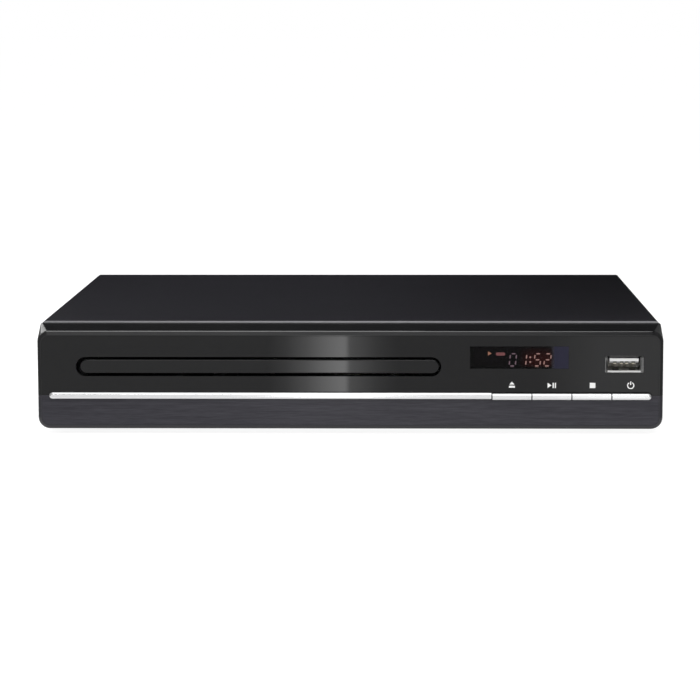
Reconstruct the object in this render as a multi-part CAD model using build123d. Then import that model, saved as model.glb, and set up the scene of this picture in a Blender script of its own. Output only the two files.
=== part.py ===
from build123d import *
import math
import os

# Compact disc player with a motor-driven tray. Millimetres, +Z up, front face towards -Y.
# The origin is on the floor, under the middle of the overall box.

# Clearances
slide_gap = 0.3  # between faces that slide past each other
fit_gap = 0.1  # round a plate or socket set into an opening
shaft_gap = 0.05  # radial, round a shaft, pin or screw in its hole

# Front panel moulding and its two inlaid plates
panel_width = 240.6
panel_height = 40.35  # lower edge to the shoulder under the steel cover
panel_lift = 2.05  # floor to the lower edge
panel_depth = 8.0  # face to the cover's front edge
face_height = 37.9  # lower edge to the upper edge of the bevel
bevel = 1.4
corner_radius = 4.5
shoulder_radius = 0.9
edge_round = 1.6
panel_front_wall = 3.0
panel_side_wall = 3.6
panel_bottom_wall = 2.0
panel_lip = 5.0  # tongue that reaches back inside the cover
fascia_thickness = 1.2
fascia_rim = 0.4  # moulding left showing round the inlaid plates
snap_tab_width = 12.0
snap_tab_reach = 8.0
snap_tab_thickness = 1.6
snap_tab_margins = (24.3, 60.3)  # panel side to each tab's centre

# Steel cover, chassis pan and rear panel
body_depth = 199.0  # face to the rear panel's outer side
cover_thickness = 0.7
cover_inset = 1.1  # panel side stands proud of the cover side
cover_bend = 1.5
cover_lip_height = 6.4
cover_skirt_gap = 0.6  # cover's lower edge above the pan's underside
chassis_thickness = 0.8
chassis_flange_height = 12.0
rear_flange_depth = 8.0
vent_width = 2.4
vent_length = 16.0
vent_pitch = 5.0
side_vent_count = 12
floor_vent_count = 10

# Feet
foot_height = 4.5
foot_radius = 8.0
foot_stem_radius = 2.5
foot_margin_x = 25.3
foot_margin_y = 27.0

# Screws
screw_radius = 1.4
screw_head_radius = 2.7
screw_head_height = 1.4
cover_screw_head_height = 0.8
screw_head_round = 0.4
screw_cross_length = 3.2
screw_cross_width = 0.7
screw_cross_share = 0.6  # of the head's height
cover_screw_grip = 4.0  # shank inside the pan
cover_screw_rise = 4.0  # above the pan's underside
cover_screw_places = (48.0, 168.0)  # along the sides, behind the face

# Silver strip and the four keys that carry it on
strip_height = 2.8
strip_proud = 1.3
strip_round = 0.9
strip_rise = 13.14  # strip centre above the panel's lower edge
strip_margin = 4.55  # strip end to the panel side
key_names = ("eject", "play", "stop", "power")
key_pitch = 15.3
key_gap = 0.45
key_travel = 0.5
key_drop = 0.3  # key caps sit below the strip's line by this
key_stem_width = 4.0
key_stem_height = 1.5
key_head_width = 6.0
key_head_height = 2.6
key_head_depth = 1.2
key_cap_depth = 0.6  # cap behind the face plane

# Front circuit board and what stands on it
board_thickness = 1.6
front_board_set_back = 14.0  # face to the board
front_board_height = 29.0
front_board_rise = 6.95  # above the panel's lower edge
front_board_left_gap = 8.0  # loader side wall to the board's left end
front_board_right_gap = 1.5
boss_radius = 2.8
switch_size = 6.0
switch_height = 3.5
switch_floor = 0.8
plunger_radius = 1.7
plunger_proud = 1.5
window_width = 37.7
window_height = 8.5
window_margin = 55.3  # panel's right side to the window's centre
window_rise = 27.9  # window centre above the panel's lower edge
window_ledge = 0.4
display_width = 30.6
display_depth = 8.0
display_left = 1.5  # window's left end to the display
receiver_width = 5.0
receiver_depth = 4.0
receiver_dome = 1.8
receiver_right = 2.9  # window's right end to the receiver's centre
usb_margin = 15.1  # panel's right side to the socket's centre
usb_rise = 25.35
usb_width = 13.1
usb_height = 5.8
usb_wall = 0.35
usb_lip = 0.7  # flared mouth stands out of the shell's sides by this
usb_lip_low = 0.6  # and below the shell
usb_lip_high = 0.35  # and above it
usb_flare = 1.1  # how deep the flare runs
usb_tongue_width = 11.1
usb_tongue_thickness = 1.84
usb_tongue_set_back = 1.2
usb_tongue_drop = 0.45  # room for a plug's shell above the tongue
usb_tongue_chamfer = 0.6
usb_set_back = 0.25
usb_mouth_radius = 0.1
usb_rim = 0.1  # the flare thins to this at its front edge
usb_contact_width = 1.0
usb_contact_thickness = 0.25
usb_contact_places = (-3.5, -1.0, 1.0, 3.5)
usb_spring_places = (-3.2, 3.2)
usb_spring_width = 2.4
usb_spring_length = 5.0
usb_spring_rise = 0.6

# Disc tray
tray_margin = 15.0  # panel side to the tray opening
tray_opening_width = 140.4
tray_opening_height = 7.45
tray_rise = 24.3  # tray centre above the panel's lower edge
bezel_left_gap = 1.5
bezel_right_gap = 0.8
bezel_height = 5.4
bezel_thickness = 4.0
bezel_set_back = 0.5
bezel_round = 0.4
tray_half_width = 66.0
tray_skirt = 3.4
tray_length = 158.0
tray_plate_length = 126.0
tray_floor = 1.2
tray_travel = 128.0
disc_recess_radius = 60.6
disc_recess_depth = 1.9
small_recess_radius = 40.6
small_recess_depth = 0.8
spindle_set_back = 69.0  # face to the spindle
tray_slot_half_width = 18.0
disc_thickness = 1.2
disc_lift = 1.1  # disc above the tray's seat while it plays

# Loader frame
frame_wall = 2.8
frame_floor = 2.0
frame_rise = 3.4  # pan to the frame's floor
frame_headroom = 4.0  # tray top to the wall's top
frame_set_back = 14.0
frame_tail = 4.0  # frame behind the tray
ledge_width = 4.0
ledge_thickness = 2.0
hold_tab_length = 12.0
hold_tab_width = 3.2
lug_radius = 4.6
lug_thickness = 2.0
lug_reach = 4.6  # wall to the lug's centre
grommet_thickness = 2.0
grommet_radius = 3.6
loader_post_radius = 3.0

# Loading gear train
pressure_angle = math.radians(20.0)
tooth_head = 0.8  # tooth height above the pitch line, in modules
tooth_foot = 1.05  # tooth depth below the pitch line, in modules
tooth_slack = 0.14  # each tooth is this much thinner at the pitch line
flank_steps = 4
rack_module = 1.0
rack_pinion_teeth = 18
rack_height = 2.1
reduction_module = 0.8
drive_wheel_teeth = 30
pulley_pinion_teeth = 14
gear_set_back = 30.0
gear_rise = 4.3  # frame floor to the reduction gears
reduction_height = 3.8
gear_post_radius = 2.0
pulley_radius = 10.5
motor_pulley_radius = 2.6
pulley_height = 2.8
pulley_rim = 0.8
belt_thickness = 1.2
belt_span = 31.0
loading_motor_radius = 12.2
loading_motor_height = 12.0
motor_pot_wall = 1.8
motor_deck = 1.7
motor_shaft_radius = 1.0

# Cam slider and tilting traverse
cam_travel = 9.0
cam_thickness = 4.0
cam_half_length = 30.0
cam_pin_radius = 1.2
cam_pin_x = 14.0
cam_slot_gap = 0.3
cam_wall = 1.7
pivot_set_back = 148.0
pivot_radius = 2.0
pivot_post_width = 4.0
traverse_half_width = 35.5
traverse_thickness = 2.0
traverse_rise = 5.3  # frame floor's top to the traverse plate
traverse_bar = 6.0
spindle_drop = 4.8  # how far the spindle sinks before the tray opens

# Spindle, clamper and bridge
turntable_radius = 15.0
turntable_thickness = 2.5
hub_radius = 7.3
hub_tip_radius = 6.2
hub_height = 2.0
spindle_motor_radius = 11.0
spindle_motor_gap = 3.2  # motor to the turntable
spindle_motor_base = 0.8
spindle_shaft_radius = 1.0
clamper_radius = 12.5
clamper_flange_radius = 16.0
clamper_flange = 1.5
clamper_float = 0.4
magnet_radius = 9.0
magnet_height = 1.4
bridge_thickness = 1.2
bridge_width = 44.0
bridge_hole_radius = 13.2
bridge_window = 24.0
bridge_window_gap = 10.8  # round hole to each window
bridge_window_width = 28.0

# Pickup sled and its drive
rod_radius = 1.5
rod_x = 17.0
rod_lug = 2.5
sled_length = 24.0
sled_wall = 3.0
sled_height = 6.8
sled_travel = 34.0
sled_end_gap = 0.8
lens_start = 25.0  # lens to the spindle at the innermost track
lens_radius = 2.4
lens_holder_radius = 5.4
lens_well_gap = 0.4
lens_below_disc = 1.8
focus_travel = 0.4
sled_rack_module = 0.6
sled_pinion_teeth = 16
sled_wheel_module = 0.5
sled_wheel_teeth = 30
sled_motor_teeth = 14
sled_gear_height = 2.2
sled_gear_advance = 26.0  # spindle to the sled gear
sled_motor_radius = 7.0
sled_motor_height = 3.4

# Main board, power board and rear sockets
board_rise = 6.0
board_post_radius = 2.6
main_board_depth = 108.0
board_side_gap = 1.8
power_board_width = 104.0
power_board_depth = 26.0
power_board_margin = 8.0  # chassis side to the board
board_rear_gap = 1.0
chip_size = 24.0
chip_height = 2.0
heat_sink_height = 14.0
heat_sink_fins = 7
heat_sink_base = 2.0
capacitor_sizes = ((8.0, 20.0), (5.0, 12.0), (4.0, 11.0))
transformer_size = (22.0, 18.0, 17.0)
transformer_step = 2.0  # winding stands out of the core by this
fuse_radius = 2.6
fuse_length = 20.0
jack_radius = 4.15
jack_wall = 0.5
jack_neck = 0.2  # barrel is this much thinner up to its shoulder
jack_shoulder = 1.0  # rear panel to the full-size barrel
jack_pin_radius = 1.65
jack_pin_depth = 8.0
jack_reach = 9.0
jack_pitch_x = 14.0
jack_pitch_z = 13.5
jack_block_depth = 12.0
jack_block_margin = 5.5
jack_margin = 54.3  # panel's right side to the jacks' middle
jack_hole_gap = 0.5
hdmi_margin = 20.3  # panel's right side to the socket's centre
hdmi_width = 15.0
hdmi_height = 5.6
hdmi_depth = 11.5
hdmi_wall = 0.4
hdmi_tongue = 1.2
inlet_margin = 30.3  # panel's left side to the inlet's centre
inlet_width = 21.0
inlet_height = 14.0
inlet_depth = 15.0
inlet_lobe_radius = 3.9
inlet_pin_radius = 1.2
inlet_pin_spacing = 8.6
inlet_cavity = 11.0
inlet_pin_length = 9.0
ribbon_thickness = 0.4
front_ribbon_width = 14.0
loader_ribbon_width = 9.0
power_ribbon_width = 5.0
ribbon_bend = 1.5
ribbon_landing = 8.0  # board edge to where the front cable lands
ribbon_rise = 6.0
ribbon_arch = 4.5

# Places worked out from the sizes above
overall_depth = strip_proud + body_depth + jack_reach
front_y = strip_proud - overall_depth / 2
rear_y = front_y + body_depth
half_width = panel_width / 2
body_half = half_width - cover_inset
shoulder_y = front_y + panel_depth
face_top = panel_lift + face_height
shoulder_z = panel_lift + panel_height
cover_top = shoulder_z + cover_thickness
floor_z = foot_height + chassis_thickness
chassis_half = body_half - cover_thickness - fit_gap
recess_y = front_y + fascia_thickness
wall_back = front_y + panel_front_wall
strip_z = panel_lift + strip_rise
strip_end = half_width - strip_margin
keys_left = strip_end - key_pitch * len(key_names)
front_board_y = front_y + front_board_set_back
front_board_z = panel_lift + front_board_rise
window_x = half_width - window_margin
window_z = panel_lift + window_rise
usb_x = half_width - usb_margin
usb_z = panel_lift + usb_rise

tray_x = -half_width + tray_margin + tray_opening_width / 2
tray_z = panel_lift + tray_rise
tray_low = tray_z - bezel_height / 2
tray_high = tray_z + bezel_height / 2
tray_front = front_y + bezel_set_back + bezel_thickness
tray_back = tray_front + tray_length
seat_z = tray_high - disc_recess_depth
disc_z = seat_z + disc_lift
spindle_y = front_y + spindle_set_back
tray_plate_back = tray_front + tray_plate_length

frame_half = tray_half_width + slide_gap + 0.9
frame_front = front_y + frame_set_back
frame_back = tray_back + frame_tail
frame_low = floor_z + frame_rise
frame_deck = frame_low + frame_floor
frame_top = tray_high + frame_headroom
ledge_top = tray_low - slide_gap
lug_x = frame_half + frame_wall + lug_reach
lug_y = (frame_front + 2 * lug_radius, frame_back - 3 * lug_radius)
lug_low = frame_deck
loader_right = tray_x + lug_x + lug_radius

gear_y = front_y + gear_set_back
rack_pitch_x = tray_half_width - tray_skirt - tooth_foot * rack_module
rack_pinion_r = rack_module * rack_pinion_teeth / 2
drive_wheel_r = reduction_module * drive_wheel_teeth / 2
pulley_pinion_r = reduction_module * pulley_pinion_teeth / 2
drive_gear_x = tray_x + rack_pitch_x - rack_pinion_r
pulley_gear_x = drive_gear_x - drive_wheel_r - pulley_pinion_r
motor_x = pulley_gear_x - belt_span
gear_low = frame_deck + gear_rise
gear_high = gear_low + reduction_height
pulley_high = tray_low - slide_gap - 0.15
pulley_low = pulley_high - pulley_height
motor_deck_top = pulley_low - slide_gap
motor_top = motor_deck_top - motor_deck
motor_low = motor_top - loading_motor_height

traverse_low = frame_deck + traverse_rise
traverse_high = traverse_low + traverse_thickness
pivot_y = front_y + pivot_set_back
pivot_z = traverse_low + traverse_thickness / 2
tilt = math.asin(spindle_drop / (pivot_y - spindle_y))
cam_y0 = gear_y + loading_motor_radius + motor_pot_wall + slide_gap + 1.3
cam_y1 = cam_y0 + cam_thickness
cam_low = frame_deck + slide_gap
cam_high = tray_low - 2 * slide_gap
traverse_front = cam_y1 + 0.8
cam_pin_y = (cam_y0 + cam_y1) / 2
cam_slot_radius = cam_pin_radius + cam_slot_gap
cam_pin_z = cam_high - cam_wall - cam_slot_radius
cam_drop = (pivot_y - cam_pin_y) * math.sin(tilt)

rod_z = traverse_high + rod_radius + 1.2
lens_y = spindle_y + lens_start
sled_front = lens_y - sled_length / 2
sled_back = lens_y + sled_length / 2
sled_high = rod_z + rod_radius + 1.3
sled_low = sled_high - sled_height
sled_half = rod_x + rod_radius + sled_wall
sled_rack_r = sled_rack_module * sled_pinion_teeth / 2
sled_wheel_r = sled_wheel_module * sled_wheel_teeth / 2
sled_motor_r = sled_wheel_module * sled_motor_teeth / 2
sled_rack_x = sled_half + (tooth_foot + tooth_head) * sled_rack_module
sled_gear_x = tray_x + sled_rack_x - tooth_head * sled_rack_module + sled_rack_r
sled_gear_y = spindle_y + sled_gear_advance
sled_motor_y = sled_gear_y + sled_wheel_r + sled_motor_r
sled_wheel_high = traverse_low - slide_gap
sled_wheel_low = sled_wheel_high - sled_gear_height

clamper_low = disc_z + disc_thickness + shaft_gap
bridge_low = frame_top
bridge_high = bridge_low + bridge_thickness
clamper_rim = bridge_high + clamper_float

board_z = floor_z + board_rise
board_top = board_z + board_thickness
board_rear = rear_y - chassis_thickness - board_rear_gap
main_board_x0 = loader_right + board_side_gap
main_board_x1 = chassis_half - chassis_thickness - board_side_gap
main_board_y0 = board_rear - main_board_depth
power_board_x0 = -chassis_half + chassis_thickness + power_board_margin
power_board_y0 = board_rear - power_board_depth
front_board_x0 = tray_x + frame_half + front_board_left_gap
front_board_x1 = half_width - panel_side_wall - front_board_right_gap
rear_inner = rear_y - chassis_thickness
rear_panel_top = shoulder_z - (cover_bend - cover_thickness) - fit_gap
jack_x = half_width - jack_margin
jack_low_z = board_top + jack_block_margin
hdmi_x = half_width - hdmi_margin
hdmi_z = board_top + hdmi_height / 2
inlet_x = inlet_margin - half_width
inlet_z = board_top + inlet_height / 2


# Shape helpers
def block(x0, x1, y0, y1, z0, z1):
    """A box from its limits."""
    middle = Pos((x0 + x1) / 2, (y0 + y1) / 2, (z0 + z1) / 2)
    return middle * Box(x1 - x0, y1 - y0, z1 - z0)


def post(x, y, z0, z1, radius):
    """An upright cylinder."""
    return Pos(x, y, (z0 + z1) / 2) * Cylinder(radius, z1 - z0)


def rod_along_x(y, z, x0, x1, radius):
    """A cylinder that lies along X."""
    return Pos((x0 + x1) / 2, y, z) * Rot(0, 90, 0) * Cylinder(radius, x1 - x0)


def rod_along_y(x, z, y0, y1, radius):
    """A cylinder that lies along Y."""
    return Pos(x, (y0 + y1) / 2, z) * Rot(90, 0, 0) * Cylinder(radius, y1 - y0)


def plate_y(outline, y0, y1):
    """An outline drawn in X and Z, made solid from y0 back to y1."""
    return extrude(Plane.XZ.offset(-y1) * outline, amount=y1 - y0)


def plate_z(outline, z0, z1):
    """An outline drawn in X and Y, made solid from z0 up to z1."""
    return extrude(Pos(0, 0, z0) * outline, amount=z1 - z0)


def group(pieces):
    """Separate solids kept together in one node."""
    return Compound([solid for piece in pieces for solid in piece.solids()])


def pill(width, height, x, z):
    """A round-ended bar outline, centred at x, z."""
    return Pos(x, z) * SlotOverall(width, height)


def rounded(width, z0, z1, low_radius, high_radius, x=0.0):
    """An upright outline with its own radius at the lower and the upper corners."""
    outline = Pos(x, (z0 + z1) / 2) * Rectangle(width, z1 - z0)
    outline = fillet(outline.vertices().group_by(Axis.Y)[0], low_radius)
    return fillet(outline.vertices().group_by(Axis.Y)[-1], high_radius)


def polar(radius, angle):
    """A point at a radius and an angle in radians."""
    return (radius * math.cos(angle), radius * math.sin(angle))


def involute(angle):
    """The involute function of a pressure angle."""
    return math.tan(angle) - angle


def gear(teeth, module, z0, z1, turn=0.0):
    """An involute spur gear on the Z axis, a tooth centred at the turn, in degrees."""
    pitch_r = module * teeth / 2
    base_r = pitch_r * math.cos(pressure_angle)
    root_r = pitch_r - tooth_foot * module
    tip_r = pitch_r + tooth_head * module
    start_r = max(base_r, root_r)
    half_pitch = math.pi / (2 * teeth) - tooth_slack / (2 * pitch_r)
    flank = [(root_r, half_pitch + involute(pressure_angle))] if root_r < base_r else []
    for step in range(flank_steps + 1):
        r = start_r + (tip_r - start_r) * step / flank_steps
        lean = involute(pressure_angle) - involute(math.acos(min(1.0, base_r / r)))
        flank.append((r, half_pitch + lean))
    points = []
    for tooth in range(teeth):
        centre = math.radians(turn) + 2 * math.pi * tooth / teeth
        points += [polar(r, centre - half) for r, half in flank]
        points += [polar(r, centre + half) for r, half in reversed(flank)]
    return plate_z(make_face(Polyline(*points, close=True)), z0, z1)


def rack(x_pitch, facing, x_back, y_gear, y0, y1, module, z0, z1):
    """A straight toothed bar along Y, with a gap between teeth at y_gear, its teeth facing +X or -X."""
    pitch = math.pi * module
    x_root = x_pitch - facing * tooth_foot * module
    x_tip = x_pitch + facing * tooth_head * module
    half = pitch / 4 - tooth_slack / 2
    half_root = half + tooth_foot * module * math.tan(pressure_angle)
    half_tip = half - tooth_head * module * math.tan(pressure_angle)
    points = [(x_back, y0), (x_root, y0)]
    for index in range(math.ceil((y0 - y_gear) / pitch), math.floor((y1 - y_gear) / pitch)):
        y = y_gear + (index + 0.5) * pitch
        points += [(x_root, y - half_root), (x_tip, y - half_tip)]
        points += [(x_tip, y + half_tip), (x_root, y + half_root)]
    points += [(x_root, y1), (x_back, y1)]
    return plate_z(make_face(Polyline(*points, close=True)), z0, z1)


def screw(length, head_height):
    """A cross-head screw that stands head up, with its seat at the origin."""
    head = post(0, 0, 0, head_height, screw_head_radius)
    head = fillet(head.faces().sort_by(Axis.Z)[-1].edges(), screw_head_round)
    long, wide = screw_cross_length / 2, screw_cross_width / 2
    floor = head_height * (1 - screw_cross_share)
    for half_x, half_y in ((long, wide), (wide, long)):
        head -= block(-half_x, half_x, -half_y, half_y, floor, head_height)
    return head + post(0, 0, -length, 0, screw_radius)


def screw_z(x, y, seat, tip, up=1):
    """A screw along Z, its head on the seat and its shank down to the tip, or the other way up."""
    return Pos(x, y, seat) * Rot(90 - 90 * up, 0, 0) * screw(abs(seat - tip), screw_head_height)


def screw_y(x, z, seat, tip):
    """A screw along Y, its head behind the seat and its shank forward to the tip."""
    return Pos(x, seat, z) * Rot(-90, 0, 0) * screw(seat - tip, screw_head_height)


def ribbon(points, x0, x1):
    """A flat cable of even thickness, its run drawn in Y and Z and its width from x0 to x1."""
    run = FilletPolyline(*points, radius=ribbon_bend)
    strip = trace(run, ribbon_thickness)
    return extrude(Plane.YZ.offset(x0) * strip, amount=x1 - x0)


def cross_ribbon(points, y0, y1):
    """A flat cable of even thickness, its run drawn in X and Z and its width from y0 to y1."""
    return plate_y(trace(FilletPolyline(*points, radius=ribbon_bend), ribbon_thickness), y0, y1)


# Front panel
def face_outline(inset):
    """The panel's front outline, drawn in by an inset."""
    return rounded(panel_width - 2 * inset, panel_lift + inset, face_top - inset,
                   corner_radius - inset, corner_radius - inset)


def tray_opening():
    """The round-ended opening that the tray comes out of."""
    return pill(tray_opening_width, tray_opening_height, tray_x, tray_z)


def usb_mouth(gap):
    """The outline of the memory socket's flared mouth with a gap round it, or drawn in by a gap below 0."""
    width = usb_width + 2 * (usb_lip + gap)
    height = usb_height + usb_lip_low + usb_lip_high + 2 * gap
    return Pos(usb_x, usb_z + (usb_lip_high - usb_lip_low) / 2) * RectangleRounded(width, height, usb_lip)


def key_centres():
    """The X of each key's middle."""
    return [keys_left + key_pitch * (index + 0.5) for index in range(len(key_names))]


def strip_bed(gap):
    """The outline of the whole silver line, strip and keys together, with a gap round it."""
    return pill(2 * (strip_end + gap), strip_height + 2 * gap, 0, strip_z)


def key_bed(y0, y1):
    """The room for the key caps, which sit a little lower than the strip."""
    line = plate_y(Pos(0, -key_drop) * strip_bed(fit_gap), y0, y1)
    return line & block(keys_left - key_gap / 2, half_width, y0, y1, 0, face_top)


def snap_tab_places():
    """The X of each tab that hooks the panel to the pan."""
    return [side * (half_width - margin) for side in (-1, 1) for margin in snap_tab_margins]


def boss_places():
    """Where the front board is screwed to the panel, as X and Z."""
    low = front_board_z + boss_radius + 0.4
    high = front_board_z + front_board_height - boss_radius - 0.4
    left = front_board_x0 + boss_radius + 0.6
    right = front_board_x1 - boss_radius - 0.6
    return [(left, high), (right, high), (keys_left + 2 * key_pitch, low)]


def front_panel():
    edge = rounded(panel_width, panel_lift, face_top, corner_radius, corner_radius)
    shoulder = rounded(panel_width - cover_inset, panel_lift, shoulder_z, corner_radius, shoulder_radius)
    sections = [(face_outline(bevel), front_y), (edge, front_y + bevel), (shoulder, shoulder_y)]
    body = loft([Plane.XZ.offset(-y) * outline for outline, y in sections], ruled=True)
    ring = body.edges().filter_by_position(Axis.Y, front_y + bevel - 0.01, front_y + bevel + 0.01)
    body = fillet(ring.filter_by(lambda e: e.center().Y < front_y + bevel + 0.01), edge_round)

    lip_half = body_half - cover_thickness - fit_gap
    lip_top = shoulder_z - fit_gap
    body += plate_y(rounded(2 * lip_half, floor_z + slide_gap, lip_top, corner_radius, shoulder_radius),
                    shoulder_y - 1.0, shoulder_y + panel_lip)
    inner_half = half_width - panel_side_wall
    inner_low = panel_lift + panel_bottom_wall
    body -= block(-inner_half, inner_half, wall_back, shoulder_y + panel_lip, inner_low,
                  face_top - panel_bottom_wall)
    body -= block(-inner_half, inner_half, shoulder_y - panel_bottom_wall, shoulder_y + panel_lip, inner_low,
                  shoulder_z - panel_bottom_wall - bevel)
    body -= block(-half_width, half_width, shoulder_y, shoulder_y + panel_lip, inner_low - 1, floor_z + 2.0)

    body -= plate_y(face_outline(bevel + fascia_rim), front_y - 1, recess_y)
    body -= plate_y(tray_opening(), front_y, wall_back + 1)
    body -= plate_y(usb_mouth(fit_gap), front_y, wall_back + 1)
    ledge = Rectangle(window_width - 2 * window_ledge, window_height - 2 * window_ledge)
    body -= plate_y(Pos(window_x, window_z) * ledge, front_y, wall_back + 1)
    for x in key_centres():
        slot = Rectangle(key_stem_width + 2 * fit_gap, key_stem_height + 2 * fit_gap)
        body -= plate_y(Pos(x, strip_z) * slot, front_y, wall_back + 1)

    for x, z in boss_places():
        body += rod_along_y(x, z, wall_back - 0.5, front_board_y, boss_radius)
        body -= rod_along_y(x, z, wall_back + 2, front_board_y + 1, screw_radius + shaft_gap)
    for x in snap_tab_places():
        left, right = x - snap_tab_width / 2, x + snap_tab_width / 2
        top = floor_z + shaft_gap + snap_tab_thickness
        body += block(left, right, shoulder_y - 4, shoulder_y - 0.2, inner_low - 0.5, top)
        body += block(left, right, shoulder_y - 1, shoulder_y + snap_tab_reach, floor_z + shaft_gap, top)
        body += block(left + 2, right - 2, shoulder_y + snap_tab_reach - 2, shoulder_y + snap_tab_reach,
                      foot_height + 0.1, floor_z + 0.5)
    return body


def upper_fascia():
    plate = plate_y(face_outline(bevel + fascia_rim + shaft_gap), front_y, recess_y)
    plate &= block(-half_width, half_width, front_y, recess_y, strip_z + shaft_gap / 2, face_top)
    plate -= plate_y(strip_bed(fit_gap), front_y, recess_y)
    plate -= plate_y(tray_opening(), front_y, recess_y)
    plate -= plate_y(usb_mouth(fit_gap), front_y, recess_y)
    window = Pos(window_x, window_z) * Rectangle(window_width + 2 * shaft_gap, window_height + 2 * shaft_gap)
    return plate - plate_y(window, front_y, recess_y)


def lower_fascia():
    plate = plate_y(face_outline(bevel + fascia_rim + shaft_gap), front_y, recess_y)
    plate &= block(-half_width, half_width, front_y, recess_y, 0, strip_z - shaft_gap / 2)
    return plate - plate_y(strip_bed(fit_gap), front_y, recess_y) - key_bed(front_y, recess_y)


def display_window():
    return plate_y(Pos(window_x, window_z) * Rectangle(window_width, window_height), front_y, recess_y)


def silver_bar(y1):
    """The whole silver line with a rounded front, back to y1, before it is parted."""
    bar = plate_y(strip_bed(0), front_y - strip_proud, y1)
    return fillet(bar.faces().sort_by(Axis.Y)[0].edges(), strip_round)


def trim_strip():
    left_part = block(-half_width, keys_left - key_gap / 2, front_y - strip_proud, recess_y, 0, face_top)
    return silver_bar(recess_y) & left_part


def key_button(index):
    """One key: a slice of the silver line, a snap head behind the panel, and a stem into its switch."""
    x = key_centres()[index]
    half = (key_pitch - key_gap) / 2
    cap_back = front_y + key_cap_depth
    stem_back = front_board_y - switch_height - plunger_proud
    plunger_back = front_board_y - switch_floor - key_travel - fit_gap
    cap = Pos(0, 0, -key_drop) * silver_bar(cap_back)
    cap &= block(x - half, x + half, front_y - strip_proud, cap_back, 0, face_top)
    cap += block(x - key_stem_width / 2, x + key_stem_width / 2, cap_back - 0.2, stem_back,
                 strip_z - key_stem_height / 2, strip_z + key_stem_height / 2)
    cap += rod_along_y(x, strip_z, stem_back, plunger_back, plunger_radius)
    head_y = wall_back + fit_gap
    return cap + block(x - key_head_width / 2, x + key_head_width / 2, head_y, head_y + key_head_depth,
                       strip_z - key_head_height / 2, strip_z + key_head_height / 2)


# Front board
def front_board():
    body = block(front_board_x0, front_board_x1, front_board_y, front_board_y + board_thickness,
                 front_board_z, front_board_z + front_board_height)
    return body - [rod_along_y(x, z, front_board_y - 1, front_board_y + board_thickness + 1,
                               screw_radius + shaft_gap) for x, z in boss_places()]


def front_board_screws():
    seat = front_board_y + board_thickness
    return group(screw_y(x, z, seat, wall_back + 3) for x, z in boss_places())


def key_switches():
    bodies = []
    for x in key_centres():
        half = switch_size / 2
        front = front_board_y - switch_height
        body = block(x - half, x + half, front, front_board_y, strip_z - half, strip_z + half)
        floor = front_board_y - switch_floor
        bodies.append(body - rod_along_y(x, strip_z, front, floor, plunger_radius + shaft_gap))
    return group(bodies)


def led_display():
    left = window_x - window_width / 2 + display_left
    body = block(left, left + display_width, wall_back + slide_gap, wall_back + slide_gap + display_depth,
                 window_z - window_height / 2, window_z + window_height / 2)
    for x in (left + 3, left + display_width - 3):
        body += block(x - 1.2, x + 1.2, wall_back + display_depth, front_board_y, window_z - 3, window_z + 3)
    return body


def ir_receiver():
    x = window_x + window_width / 2 - receiver_right
    half = receiver_width / 2
    front = wall_back + slide_gap + receiver_dome
    body = block(x - half, x + half, front, front + receiver_depth, window_z - half - 0.5, window_z + half + 0.5)
    dome = rod_along_y(x, window_z, front - receiver_dome, front, receiver_dome)
    body += fillet(dome.faces().sort_by(Axis.Y)[0].edges(), receiver_dome * 0.6)
    return body + block(x - 1.6, x + 1.6, front + receiver_depth - 0.5, front_board_y, window_z - 2, window_z - 1)


def usb_funnel(y0, rim, wall):
    """The flared mouth as a solid, drawn in by a rim at its wide front and by a wall where it meets the shell."""
    narrow = RectangleRounded(usb_width - 2 * wall, usb_height - 2 * wall, usb_mouth_radius)
    sections = [(usb_mouth(-rim), y0), (Pos(usb_x, usb_z) * narrow, y0 + usb_flare)]
    return loft([Plane.XZ.offset(-y) * outline for outline, y in sections], ruled=True)


def usb_springs():
    """Two leaf springs pressed up from the shell's lower wall, each a low ridge that is steeper at the front."""
    floor = usb_z - usb_height / 2 + usb_wall / 2
    y0 = front_y + usb_set_back + usb_flare
    ridge = Polyline((y0, floor), (y0 + usb_spring_length / 3, floor + usb_wall / 2 + usb_spring_rise),
                     (y0 + usb_spring_length, floor), close=True)
    return [extrude(Plane.YZ.offset(usb_x + x - usb_spring_width / 2) * make_face(ridge), amount=usb_spring_width)
            for x in usb_spring_places]


def usb_shell():
    y0 = front_y + usb_set_back
    shell = block(usb_x - usb_width / 2, usb_x + usb_width / 2, y0, front_board_y,
                  usb_z - usb_height / 2, usb_z + usb_height / 2)
    shell -= block(usb_x - usb_width / 2 + usb_wall, usb_x + usb_width / 2 - usb_wall, y0, front_board_y - 1,
                   usb_z - usb_height / 2 + usb_wall, usb_z + usb_height / 2 - usb_wall)
    shell -= block(usb_x - usb_width, usb_x + usb_width, y0, y0 + usb_flare, usb_z - usb_height, usb_z + usb_height)
    return shell + usb_funnel(y0, 0, 0) - usb_funnel(y0, usb_rim, usb_wall) + usb_springs()


def usb_tongue():
    top = usb_z + usb_height / 2 - usb_wall - usb_tongue_drop
    low = top - usb_tongue_thickness
    y0 = front_y + usb_set_back + usb_tongue_set_back
    half = usb_tongue_width / 2
    body = block(usb_x - half, usb_x + half, y0, front_board_y - 1, low, top)
    body = chamfer(body.faces().sort_by(Axis.Y)[0].edges().sort_by(Axis.Z)[0], usb_tongue_chamfer)
    for x in usb_contact_places:
        body -= block(usb_x + x - usb_contact_width / 2, usb_x + x + usb_contact_width / 2,
                      y0, y0 + usb_tongue_chamfer, low, low + usb_tongue_chamfer)
    return body + block(usb_x - half, usb_x + half, front_board_y - 2.6, front_board_y - 1,
                        usb_z - usb_height / 2 + usb_wall, usb_z + usb_height / 2 - usb_wall)


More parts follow.
